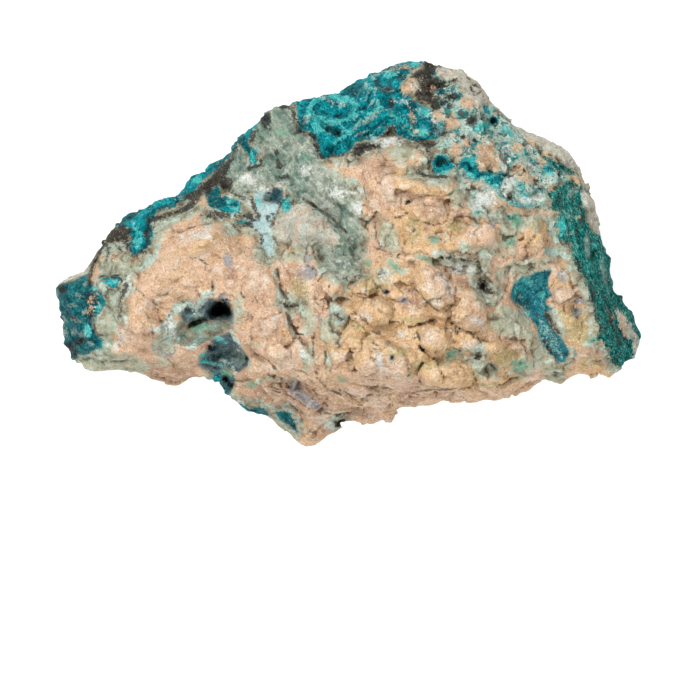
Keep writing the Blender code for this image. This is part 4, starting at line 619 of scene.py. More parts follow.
# What each mineral is made of
CRUST_AREAS = [
    LEFT_END, LEFT_WEDGE, TOP_STRIP, TOP_PATCH, SHOULDER_PATCH, EDGE_PATCH, SMALL_TRIANGLE, POCKET,
    BLUE_WEDGE, LOW_EDGE, LOW_PATCH,
]
CRUST_SPOTS = [
    (9.4, 18.3, 0.5, 0.4, 0), (11.2, 17.2, 0.5, 0.3, 20), (9.9, 20.2, 0.6, 0.25, 0),
    (13.0, 16.4, 0.4, 0.3, 0), (-12.3, 3.4, 0.8, 0.4, 20), (-7.2, 5.4, 0.6, 0.7, 0),
    (14.9, 4.8, 0.25, 0.4, 0), (14.5, 12.6, 0.7, 0.5, 0), (10.7, 18.6, 0.7, 0.5, 0),
    (12.4, 18.0, 0.8, 0.4, 0), (16.9, 15.2, 0.6, 0.5, 60), (19.2, 5.5, 1.2, 0.3, -20),
    (20.4, 6.4, 0.4, 1.2, 20), (21.9, 10.2, 0.9, 0.4, -10), (23.2, 9.6, 0.7, 0.5, 0),
    (19.0, 4.0, 0.8, 0.4, 0), (15.6, 14.4, 0.9, 0.3, 20), (-9.6, 15.5, 0.3, 0.4, 0),
    (16.0, 16.6, 0.3, 0.6, 30), (9.6, 20.8, 0.5, 0.3, 0),
]
RIM_AREAS = [PALE_LOBE, PALE_RIM, PALE_FLANK, PALE_SLIVER, TOP_SLIVER]
SAGE_AREAS = [SAGE_LEFT, SAGE_TOP, SAGE_STRIP]
VUG_AREAS = [VUG_UPPER, VUG_LOWER, VUG_FOOT, BLUE_MOUTH]
DARK_AREAS = [DARK_TOP, DARK_STEP, DARK_NOTCH, DARK_SILL, WEDGE_GREY]
# Openings that the material paints near black, as painted shade
OPENINGS = [VUG_MOUTH]
SOFT_TINTS = {
    "cream": CREAM_SPOTS, "ochre": OCHRE_SPOTS, "umber": UMBER_SPOTS, "lavender": LAVENDER_SPOTS,
    "stain": STAIN_SPOTS, "deep": DEEP_SPOTS, "haze": HAZE_SPOTS,
}


def smooth_step(low, high, value):
    share = np.clip((value - low) / (high - low), 0.0, 1.0)
    return share * share * (3.0 - 2.0 * share)


def hash_values(cells, seed):
    """One number from 0 to 1 for each row of whole numbers, the same on every run."""
    mixed = cells.astype(np.int64) @ np.array([73856093, 19349663, 83492791][: cells.shape[1]])
    mixed = (mixed + seed * 2654435761) & 0xFFFFFFFF
    mixed = ((mixed >> 16) ^ mixed) * 0x45D9F3B & 0xFFFFFFFF
    mixed = ((mixed >> 16) ^ mixed) * 0x45D9F3B & 0xFFFFFFFF
    mixed = (mixed >> 16) ^ mixed
    return (mixed & 0xFFFFFF) / float(0xFFFFFF)


def noise(points, size, seed):
    """Smooth noise from -1 to 1 with waves of this size, for points in the plane or in space."""
    scaled = points / size
    base = np.floor(scaled)
    share = scaled - base
    share = share * share * (3.0 - 2.0 * share)
    total = np.zeros(len(points))
    for corner in np.ndindex(*(2,) * points.shape[1]):
        weight = np.prod(np.where(corner, share, 1.0 - share), axis=1)
        total += weight * hash_values(base + corner, seed)
    return 2.0 * total - 1.0


def cells(points, size, seed):
    """Distance to the nearest of many scattered sites, and the height of that site's tilted facet."""
    base = np.floor(points / size)
    nearest = np.full(len(points), np.inf)
    facet = np.zeros(len(points))
    for step in np.ndindex(*(3,) * points.shape[1]):
        cell = base + (np.array(step) - 1)
        spots = np.stack([hash_values(cell, seed + axis) for axis in range(points.shape[1])], axis=1)
        away = points - (cell + spots) * size
        distance = np.sqrt(np.sum(away * away, axis=1))
        slopes = np.stack([hash_values(cell, seed + 11 + axis) for axis in range(points.shape[1])], axis=1)
        plane = np.sum(away * (slopes * 2.0 - 1.0), axis=1) + size * (hash_values(cell, seed + 29) - 0.5)
        closer = distance < nearest
        facet = np.where(closer, plane, facet)
        nearest = np.where(closer, distance, nearest)
    return nearest / size, facet


def line_reading(x, y, points):
    """Side of a bent line, distance to it, and distance to its nearer end."""
    best = np.full(x.shape, np.inf)
    side = np.zeros(x.shape)
    for (ax, ay), (bx, by) in zip(points, points[1:]):
        length = max(np.hypot(bx - ax, by - ay), 1e-6)
        along = np.clip(((x - ax) * (bx - ax) + (y - ay) * (by - ay)) / length**2, 0.0, 1.0)
        distance = np.hypot(x - ax - along * (bx - ax), y - ay - along * (by - ay))
        left = (bx - ax) * (y - ay) - (by - ay) * (x - ax)
        side = np.where(distance < best - 1e-9, np.sign(left), side)
        best = np.minimum(best, distance)
    start = np.hypot(x - points[0][0], y - points[0][1])
    end = np.hypot(x - points[-1][0], y - points[-1][1])
    return side, best, np.minimum(start, end)


def area_depth(x, y, outline):
    """Distance to a closed outline, positive inside it."""
    closed = outline + outline[:1]
    best = line_reading(x, y, closed)[1]
    inside = np.zeros(x.shape, dtype=bool)
    for (ax, ay), (bx, by) in zip(closed, closed[1:]):
        crosses = (ay > y) != (by > y)
        where = ax + (y - ay) * (bx - ax) / (by - ay if by != ay else 1e-9)
        inside ^= crosses & (x < where)
    return np.where(inside, best, -best)


def oval_radius(x, y, spot):
    """Distance from the middle of an oval, as a share of the way to its edge."""
    turn = np.radians(spot[4])
    across = (x - spot[0]) * np.cos(turn) + (y - spot[1]) * np.sin(turn)
    along = (y - spot[1]) * np.cos(turn) - (x - spot[0]) * np.sin(turn)
    return np.hypot(across / spot[2], along / spot[3])


def spots_depth(x, y, spots):
    """Rough distance in from the edge of the nearest of several ovals, negative outside them."""
    depth = np.full(x.shape, FAR_OUTSIDE)
    for spot in spots:
        depth = np.maximum(depth, (1.0 - oval_radius(x, y, spot)) * min(spot[2], spot[3]))
    return depth


def lines_depth(x, y, lines):
    depth = np.full(x.shape, FAR_OUTSIDE)
    for half_width, points in lines:
        depth = np.maximum(depth, half_width - line_reading(x, y, points)[1])
    return depth


def areas_depth(x, y, areas):
    depth = np.full(x.shape, FAR_OUTSIDE)
    for outline in areas:
        depth = np.maximum(depth, area_depth(x, y, outline))
    return depth


def soft_spots(x, y, spots):
    """From 0 to 1: how strongly a place lies in any of several soft-edged ovals."""
    strength = np.zeros(x.shape)
    for spot in spots:
        strength = np.maximum(strength, smooth_step(1.35, 0.55, oval_radius(x, y, spot)))
    return strength


def read_mesh(mesh):
    """Places in millimetres, normals, and the two ends of every edge."""
    places = np.empty(len(mesh.vertices) * 3)
    mesh.vertices.foreach_get("co", places)
    normals = np.empty(len(mesh.vertices) * 3)
    mesh.vertices.foreach_get("normal", normals)
    ends = np.empty(len(mesh.edges) * 2, dtype=np.int32)
    mesh.edges.foreach_get("vertices", ends)
    return places.reshape(-1, 3) / MM, normals.reshape(-1, 3), ends.reshape(-1, 2)


def write_places(mesh, places):
    mesh.vertices.foreach_set("co", (places * MM).ravel())
    mesh.update()


def spread(values, ends, rounds):
    """Evens values out between neighbouring points, as many times as asked."""
    count = np.bincount(ends.ravel(), minlength=len(values))
    for _ in range(rounds):
        total = np.bincount(ends[:, 0], values[ends[:, 1]], minlength=len(values))
        total += np.bincount(ends[:, 1], values[ends[:, 0]], minlength=len(values))
        values = 0.5 * values + 0.5 * total / np.maximum(count, 1)
    return values


def remade(piece, voxel=None, triangles=None, rounds=0):
    """The piece's mesh after an even remesh, some smoothing or a cut to fewer triangles."""
    if voxel:
        even = piece.modifiers.new("even", "REMESH")
        even.mode = "VOXEL"
        even.voxel_size = voxel * MM
    if rounds:
        soft = piece.modifiers.new("soft", "SMOOTH")
        soft.factor = 0.5
        soft.iterations = rounds
    if triangles:
        now = sum(len(face.vertices) - 2 for face in piece.data.polygons)
        fewer = piece.modifiers.new("fewer", "DECIMATE")
        fewer.ratio = min(1.0, triangles / now)
    bpy.context.view_layer.update()
    graph = bpy.context.evaluated_depsgraph_get()
    mesh = bpy.data.meshes.new_from_object(piece.evaluated_get(graph))
    piece.modifiers.clear()
    before = piece.data
    piece.data = mesh
    bpy.data.meshes.remove(before)


def open_sky(places):
    """1 where nothing of the stone lies above a place, 0 under an overhang and on the back."""
    graph = bpy.context.evaluated_depsgraph_get()
    tree = BVHTree.FromObject(surface, graph)
    up = Vector((0.0, 0.0, 1.0))
    lift = Vector((0.0, 0.0, 0.03 * MM))
    return np.array([tree.ray_cast(Vector(p) * MM + lift, up)[0] is None for p in places], dtype=float)


def nearest_seen(places, seen):
    """For each place, itself if it is seen from above, and otherwise the seen place nearest to it."""
    near = places.copy()
    shown = np.flatnonzero(seen > 0.5)
    tree = KDTree(len(shown))
    for index in shown:
        tree.insert(places[index], int(index))
    tree.balance()
    for index in np.flatnonzero(seen <= 0.5):
        near[index] = places[tree.find(places[index])[1]]
    return near, np.sqrt(np.sum((near - places) ** 2, axis=1))


def face_relief(x, y):
    """Relief that is read from above: lumps, steps, thin layers, cracks, pockets and holes."""
    flat = np.stack([x, y], axis=1)
    wx = x + 0.3 * noise(flat, 1.4, 3) + 0.12 * noise(flat, 0.6, 5)
    wy = y + 0.3 * noise(flat, 1.4, 4) + 0.12 * noise(flat, 0.6, 6)
    relief = np.zeros(x.shape)
    for spot in LUMPS:
        relief = np.maximum(relief, spot[5] * smooth_step(1.08, 0.76, oval_radius(wx, wy, spot)))
    for rise, reach, points in LEDGES:
        side, distance, ends = line_reading(wx, wy, points)
        fade = np.exp(-distance / reach) * smooth_step(0.0, 1.0, ends)
        relief += rise * smooth_step(-0.12, 0.12, side * distance) * fade
    for rise, half_width, points in RIDGES:
        relief += rise * np.exp(-((line_reading(wx, wy, points)[1] / half_width) ** 2))
    for depth, softness, outline in BASINS:
        relief -= depth * smooth_step(-0.1, softness, area_depth(wx, wy, outline))
    for spot in HOLES:
        relief -= spot[5] * smooth_step(1.2, 0.75, oval_radius(wx, wy, spot))
    relief -= CRACK_DEPTH * smooth_step(-0.14, 0.1, lines_depth(wx, wy, CRACKS))
    return relief


def shape_form():
    """First pass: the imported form, evened and softened, with the relief that is read from above."""
    remade(surface, voxel=FORM_VOXEL, rounds=4)
    places, _, ends = read_mesh(surface.data)
    seen = spread(open_sky(places), ends, 2)
    places[:, 2] += face_relief(places[:, 0], places[:, 1]) * seen
    places[:, 2] = np.maximum(places[:, 2], 0.0)
    write_places(surface.data, places)
    remade(surface, voxel=FINE_VOXEL, rounds=1)


def mineral_fields(places, near, under):
    """How deep each place lies inside each mineral, in millimetres, or how strong a soft tint is."""
    x, y = near[:, 0], near[:, 1]
    sway = 0.9 * noise(places, 3.0, 91) + 0.5 * noise(places, 1.1, 92)
    down = np.clip(under, 0.0, 30.0)
    aside = down > SIDE_START
    back = smooth_step(7.0, 11.0, down) > 0.5
    fields = {}
    crust = np.maximum(areas_depth(x, y, CRUST_AREAS), spots_depth(x, y, CRUST_SPOTS))
    crust = np.where(aside, crust + 0.8 - 0.16 * down + 1.6 * sway * smooth_step(1.0, 5.0, down), crust)
    patches = 1.3 * (noise(places, 9.0, 77) - 0.42) * 2.2 + 0.8 * sway
    fields["crust"] = np.maximum(crust, np.where(back, patches, FAR_OUTSIDE))
    band = areas_depth(x, y, [FIBRE_BAND, UPPER_BAND])
    fields["band"] = np.where(aside, band + 0.6 - 0.1 * down + sway * smooth_step(1.0, 5.0, down), band)
    fields["strip"] = np.where(aside, FAR_OUTSIDE, area_depth(x, y, BLUE_STRIP))
    fields["quartz"] = area_depth(x, y, QUARTZ) - 0.3 * down
    beige = areas_depth(x, y, [BEIGE_QUARTZ] + RIM_AREAS) - 0.15 * down
    fields["beige"] = np.maximum(beige, area_depth(x, y, BEIGE_PLANE) - down)
    fields["rim"] = areas_depth(x, y, RIM_AREAS) - 0.3 * down
    fields["breccia"] = area_depth(x, y, BRECCIA) - 0.25 * down
    sage = np.maximum(areas_depth(x, y, SAGE_AREAS), spots_depth(x, y, SAGE_SPOTS))
    sage_back = 1.2 * (noise(places, 6.0, 78) - 0.1) * 2.0
    fields["sage"] = np.where(back, sage_back, sage - 0.1 * down)
    fields["blue"] = area_depth(x, y, PALE_BLUE) - down
    dark = np.maximum(lines_depth(x, y, DARK_LINES), spots_depth(x, y, DARK_SPOTS))
    dark = np.maximum(dark, areas_depth(x, y, DARK_AREAS))
    edge = 0.35 - np.abs(fields["crust"] + 0.5) + 0.3 * sway
    fields["dark"] = np.where(aside, edge, dark)
    rims = [fields[name] for name in ("crust", "band", "breccia", "dark", "blue", "quartz")]
    fields["margin"] = np.maximum.reduce(rims) + 0.9
    fields["flow"] = lines_depth(x, y, FLOW_LINES) - down
    fields["crack"] = lines_depth(x, y, CRACKS) - down
    fields["mint"] = lines_depth(x, y, MINT_LINES) - down
    fields["cyan_highlight"] = np.maximum(lines_depth(x, y, CYAN_HIGHLIGHT_LINES), spots_depth(x, y, CYAN_HIGHLIGHT_SPOTS)) - down
    fields["green"] = spots_depth(x, y, GREEN_SPOTS) - down
    fields["white"] = spots_depth(x, y, WHITE_SPOTS) - down
    fields["hole"] = np.maximum(spots_depth(x, y, HOLES), areas_depth(x, y, OPENINGS)) - down
    fields["clast"] = np.maximum(spots_depth(x, y, CLAST_SPOTS), lines_depth(x, y, TAN_LINES)) - down
    fields["clast"] = np.maximum(fields["clast"], area_depth(x, y, TAN_CLAST) - down)
    fields["lining"] = areas_depth(x, y, VUG_AREAS) - down
    fields["ledge"] = area_depth(x, y, VUG_LEDGE) - down
    for name, spots in SOFT_TINTS.items():
        fields[name] = soft_spots(x, y, spots) * smooth_step(4.0, 0.0, down)
    # Painted shade: the sides get umber that grows the further they lie below the face's outline, mottled by
    # noise
    painted_side_shade = 0.75 * smooth_step(0.5, 5.0, down) * (0.6 + 0.4 * noise(places, 4.0, 79))
    fields["umber"] = np.maximum(fields["umber"], painted_side_shade)
    return {name: np.clip(values, -FIELD_LIMIT, FIELD_LIMIT) for name, values in fields.items()}


def inside(field, softness=0.25):
    return smooth_step(-softness, softness, field)


def ridged(points, size, seed, width=0.25):
    """Thin meandering creases: 1 along them, 0 away from them."""
    height = noise(points, size, seed) + 0.35 * noise(points, 0.4 * size, seed + 1)
    return smooth_step(width, 0.0, np.abs(height))


def fine_relief(places, fields):
    """Height of the fine surface above the form, along its normal."""
    x, y, z = places.T
    crust = inside(fields["crust"])
    band = inside(fields["band"]) * (1.0 - crust)
    strip = inside(fields["strip"])
    quartz = np.maximum(inside(fields["quartz"]), 0.8 * inside(fields["beige"])) * (1.0 - crust)
    lining = np.maximum(inside(fields["lining"]), inside(fields["blue"]))
    rock = (1.0 - crust) * (1.0 - band) * (1.0 - strip) * (1.0 - 0.6 * quartz) * (1.0 - 0.7 * lining)
    rock *= 1.0 - 0.4 * smooth_step(-6.0, -10.0, x)
    bent = places + 0.5 * np.stack([noise(places, 1.2, seed) for seed in (13, 14, 15)], axis=1)
    relief = rock * 0.2 * cells(bent, 2.6, 101)[1]
    relief += rock * 0.1 * cells(bent, 1.1, 131)[1]
    relief -= rock * 0.12 * ridged(places, 2.6, 41, 0.16) * smooth_step(-0.1, 0.4, noise(places, 3.5, 43))
    grains = 0.12 * noise(places, 1.3, 16) + 0.07 * noise(places, 0.62, 17) + 0.05 * noise(places, 0.36, 18)
    relief += rock * grains
    nearest = cells(places + 0.2 * noise(places, 1.0, 19)[:, None], 0.85, 151)[0]
    domes = 0.3 * np.sqrt(np.clip(1.0 - nearest**2, 0.0, 1.0)) - 0.2
    relief += crust * (domes + 0.32 * noise(places, 2.0, 21) + 0.2 * noise(places, 0.5, 22))
    relief -= crust * 0.25 * ridged(places, 1.6, 45, 0.2)
    side, distance, _ = line_reading(x, y, FIBRE_LINE)
    distance = side * distance + 0.6 * noise(places, 2.5, 23) + 0.25 * noise(places, 1.0, 24)
    fibres = noise(np.stack([distance, y * 0.22, z * 0.3], axis=1), 0.6, 25)
    fibres += 0.7 * noise(np.stack([distance, y * 0.35, z * 0.4], axis=1), 0.32, 26)
    relief += band * (0.34 * fibres + 0.2 * noise(places, 0.7, 27))
    turn = np.radians(STREAK_TURN)
    across = -x * np.sin(turn) + y * np.cos(turn)
    along = x * np.cos(turn) + y * np.sin(turn)
    streaks = noise(np.stack([across + 0.5 * noise(places, 1.6, 28), along * 0.2, z * 0.4], axis=1), 0.5, 29)
    relief += quartz * (0.16 * streaks + 0.16 * noise(places, 1.4, 30) + 0.08 * noise(places, 0.45, 31))
    relief += lining * (0.24 * cells(places, 0.6, 171)[1] + 0.2 * noise(places, 1.0, 32))
    relief += strip * (0.14 * noise(places, 0.8, 33) + 0.07 * noise(places, 0.38, 34))
    return relief


def read_minerals():
    """The surface as it stands: places, normals, ends of the edges, and the fields of every mineral."""
    places, normals, ends = read_mesh(surface.data)
    near, under = nearest_seen(places, spread(open_sky(places), ends, 3))
    return places, normals, ends, mineral_fields(places, near, under)


def shape_surface():
    """Second pass: the fine relief of each mineral, then no more triangles than the piece may have."""
    places, normals, _, fields = read_minerals()
    rest = smooth_step(0.0, 0.5, places[:, 2])
    places += normals * (fine_relief(places, fields) * rest)[:, None]
    places[:, 2] = np.maximum(places[:, 2], 0.0)
    write_places(surface.data, places)
    remade(surface, triangles=MOST_TRIANGLES)


def write_fields():
    """Stores every field on the finished mesh, where the material reads it."""
    places, normals, ends, fields = read_minerals()
    # Hollow, dip and basin: how far a place lies below its smoothed neighbours, at three sizes; the material
    # paints shade and highlight from them
    for name, rounds in (("hollow", 3), ("dip", 14), ("basin", 70)):
        soft = np.stack([spread(places[:, axis], ends, rounds) for axis in range(3)], axis=1)
        fields[name] = np.sum((soft - places) * normals, axis=1)
    for name, values in fields.items():
        layer = surface.data.attributes.new(name, "FLOAT", "POINT")
        layer.data.foreach_set("value", values.astype(np.float32))


def linear(code):
    """A colour written as it looks on screen, as the linear colour that a shader takes."""
    parts = [int(code[step : step + 2], 16) / 255.0 for step in (1, 3, 5)]
    bright = [part / 12.92 if part <= 0.04045 else ((part + 0.055) / 1.055) ** 2.4 for part in parts]
    return (*bright, 1.0)


class Nodes:
    """Short ways to add the shader nodes that the stone's material is made of."""

    def __init__(self, material):
        material.use_nodes = True
        self.tree = material.node_tree
        self.tree.nodes.clear()
        place = self.add("ShaderNodeTexCoord").outputs["Object"]
        self.place = self.vector("MULTIPLY", place, (1000.0, 1000.0, 1000.0))

    def add(self, kind, **settings):
        node = self.tree.nodes.new(kind)
        for name, value in settings.items():
            setattr(node, name, value)
        return node

    def feed(self, socket, value):
        if isinstance(value, bpy.types.NodeSocket):
            self.tree.links.new(value, socket)
        else:
            socket.default_value = value

    def fed(self, node, values):
        """The first output of a node whose inputs get these values in turn."""
        for socket, value in zip(node.inputs, values):
            self.feed(socket, value)
        return node.outputs[0]

    def math(self, operation, *values):
        return self.fed(self.add("ShaderNodeMath", operation=operation), values)

    def vector(self, operation, *values):
        return self.fed(self.add("ShaderNodeVectorMath", operation=operation), values)

    def field(self, name):
        return self.add("ShaderNodeAttribute", attribute_name=name).outputs["Fac"]

    def total(self, *shares, offset=0.0):
        """Sum of several values, each times its share."""
        value = offset
        for source, share in shares:
            value = self.math("MULTIPLY_ADD", source, share, value)
        return value

    def step(self, value, low, high):
        node = self.add("ShaderNodeMapRange", interpolation_type="SMOOTHSTEP")
        return self.fed(node, (value, low, high, 0.0, 1.0))

    def noise(self, size, detail=4.0, roughness=0.6, stretch=None, bend=0.0):
        node = self.add("ShaderNodeTexNoise")
        place = self.place if stretch is None else stretch
        self.feed(node.inputs["Vector"], place)
        node.inputs["Scale"].default_value = 1.0 / size
        node.inputs["Detail"].default_value = detail
        node.inputs["Roughness"].default_value = roughness
        node.inputs["Distortion"].default_value = bend
        return node.outputs["Fac"]

    def stretched(self, turn, factors):
        node = self.add("ShaderNodeMapping", vector_type="TEXTURE")
        self.feed(node.inputs["Vector"], self.place)
        node.inputs["Rotation"].default_value = turn
        node.inputs["Scale"].default_value = factors
        return node.outputs[0]

    def noise_colour(self, size):
        """Three independent smooth values around zero, for bending a place."""
        node = self.add("ShaderNodeTexNoise")
        self.feed(node.inputs["Vector"], self.place)
        node.inputs["Scale"].default_value = 1.0 / size
        node.inputs["Detail"].default_value = 3.0
        return self.vector("SUBTRACT", node.outputs["Color"], (0.5, 0.5, 0.5))

    def cells(self, size, place):
        """A random colour for each of many cells."""
        node = self.add("ShaderNodeTexVoronoi")
        self.feed(node.inputs["Vector"], place)
        node.inputs["Scale"].default_value = 1.0 / size
        return node.outputs["Color"]

    def ramp(self, value, stops, interpolation="LINEAR"):
        node = self.add("ShaderNodeValToRGB")
        self.feed(node.inputs[0], value)
        band = node.color_ramp
        band.interpolation = interpolation
        while len(band.elements) < len(stops):
            band.elements.new(0.5)
        for element, (place, code) in zip(band.elements, stops):
            element.position = place
            element.color = linear(code)
        return node.outputs[0]

    def mix(self, share, low, high, blend="MIX"):
        node = self.add("ShaderNodeMix", data_type="RGBA", blend_type=blend)
        self.feed(node.inputs["Factor"], share)
        self.feed(node.inputs[6], low)
        self.feed(node.inputs[7], high)
        return node.outputs[2]

    def blend(self, share, low, high):
        node = self.add("ShaderNodeMix", data_type="FLOAT")
        self.feed(node.inputs["Factor"], share)
        self.feed(node.inputs[2], low)
        self.feed(node.inputs[3], high)
        return node.outputs[0]


# Colours of each mineral, dark to light
ROSE = [(0.3, "#A5795F"), (0.39, "#CDA586"), (0.5, "#E2BE9F"), (0.6, "#EDD0B7"), (0.7, "#FBEFE4")]
OCHRE = [(0.3, "#AC7F56"), (0.39, "#D2A777"), (0.5, "#E5BF92"), (0.6, "#EFD0A9"), (0.7, "#F9E8D0")]
CREAM = [(0.34, "#CDAA8F"), (0.5, "#E4CAB2"), (0.66, "#F5E9DD")]
UMBER = [(0.32, "#7A5A47"), (0.42, "#AD8A71"), (0.52, "#CBA88D"), (0.68, "#E6CCB6")]
LAVENDER = [(0.34, "#5E6876"), (0.5, "#8A99A6"), (0.66, "#B6C6CA")]
STAIN = [(0.34, "#8A8450"), (0.5, "#BCB27E"), (0.66, "#D8D1A4")]
SAGE = [(0.32, "#6C7264"), (0.42, "#9DA68F"), (0.5, "#B8C1A9"), (0.58, "#C4CAB4"), (0.68, "#D6E6DA")]
MARGIN = [(0.34, "#54524A"), (0.43, "#8D8F7C"), (0.5, "#B0B39D"), (0.57, "#B4C9BB"), (0.66, "#E0E7DB")]
QUARTZ_TONES = [(0.36, "#3F5249"), (0.44, "#647D70"), (0.5, "#879C8D"), (0.56, "#A9B4A4"), (0.64, "#DCE0D5")]
BEIGE = [(0.32, "#8B8779"), (0.43, "#BDB8A8"), (0.54, "#D6D2C3"), (0.68, "#F2F0E6")]
PALE_BLUE_TONES = [(0.34, "#8FB3B6"), (0.5, "#B9D6D6"), (0.66, "#DDEDEB")]
MINT = [(0.34, "#8DB3A5"), (0.5, "#BCD6C9"), (0.68, "#EEF4EE")]
LINING = [(0.34, "#1D3A40"), (0.45, "#3D5F66"), (0.55, "#688389"), (0.68, "#A3B8B4")]
LEDGE_TONES = [(0.34, "#5C5C4A"), (0.45, "#807F68"), (0.55, "#789A90"), (0.68, "#AEC4B8")]
TEAL = [
    (0.36, "#00262E"), (0.43, "#00545F"), (0.49, "#007F8A"), (0.545, "#00A4AC"), (0.61, "#16C0C0"),
    (0.7, "#86E0D8"),
]
DEEP_TEAL = [(0.32, "#061A1F"), (0.42, "#053D48"), (0.5, "#0C5F68"), (0.58, "#2A8584"), (0.7, "#8BAFA3")]
STRIP_TONES = [(0.34, "#0F4A5A"), (0.45, "#1C7180"), (0.54, "#37949E"), (0.66, "#8CCAC5")]
BAND_TONES = [(0.37, "#00181A"), (0.44, "#003F3D"), (0.5, "#006560"), (0.56, "#128A80"), (0.64, "#8CC8B9")]
HAZE = [(0.34, "#4A6F6C"), (0.5, "#8FA69C"), (0.66, "#D2D6C8")]
CLAST = [(0.34, "#9A7458"), (0.45, "#CBA07C"), (0.56, "#E2BF9C"), (0.7, "#F1DFCB")]
DARK = [(0.38, "#0B0A09"), (0.5, "#25211E"), (0.58, "#4E443D"), (0.68, "#9F9284")]
DEEP_LINING = [(0.34, "#0B2A31"), (0.5, "#1F535A"), (0.66, "#5C8F92")]
CYAN_HIGHLIGHT_TONES = [(0.36, "#12A0A6"), (0.5, "#3CC2BF"), (0.64, "#ACE8DF")]
GREEN = [(0.36, "#3F8F76"), (0.64, "#93C2A6")]
WHITE = [(0.36, "#BCCAC2"), (0.6, "#F6F6F0")]
GRIT = [(0.36, "#A79B90"), (0.45, "#F2EFEC"), (0.52, "#FFFFFF")]
SHARDS = [
    (0.0, "#3A7C77"), (0.13, "#AEBBA8"), (0.25, "#CFCEBC"), (0.36, "#35A09D"), (0.48, "#C6C9B4"),
    (0.58, "#1A6A6B"), (0.68, "#E4ECE6"), (0.8, "#8DBDB1"), (0.91, "#5B635F"),
]


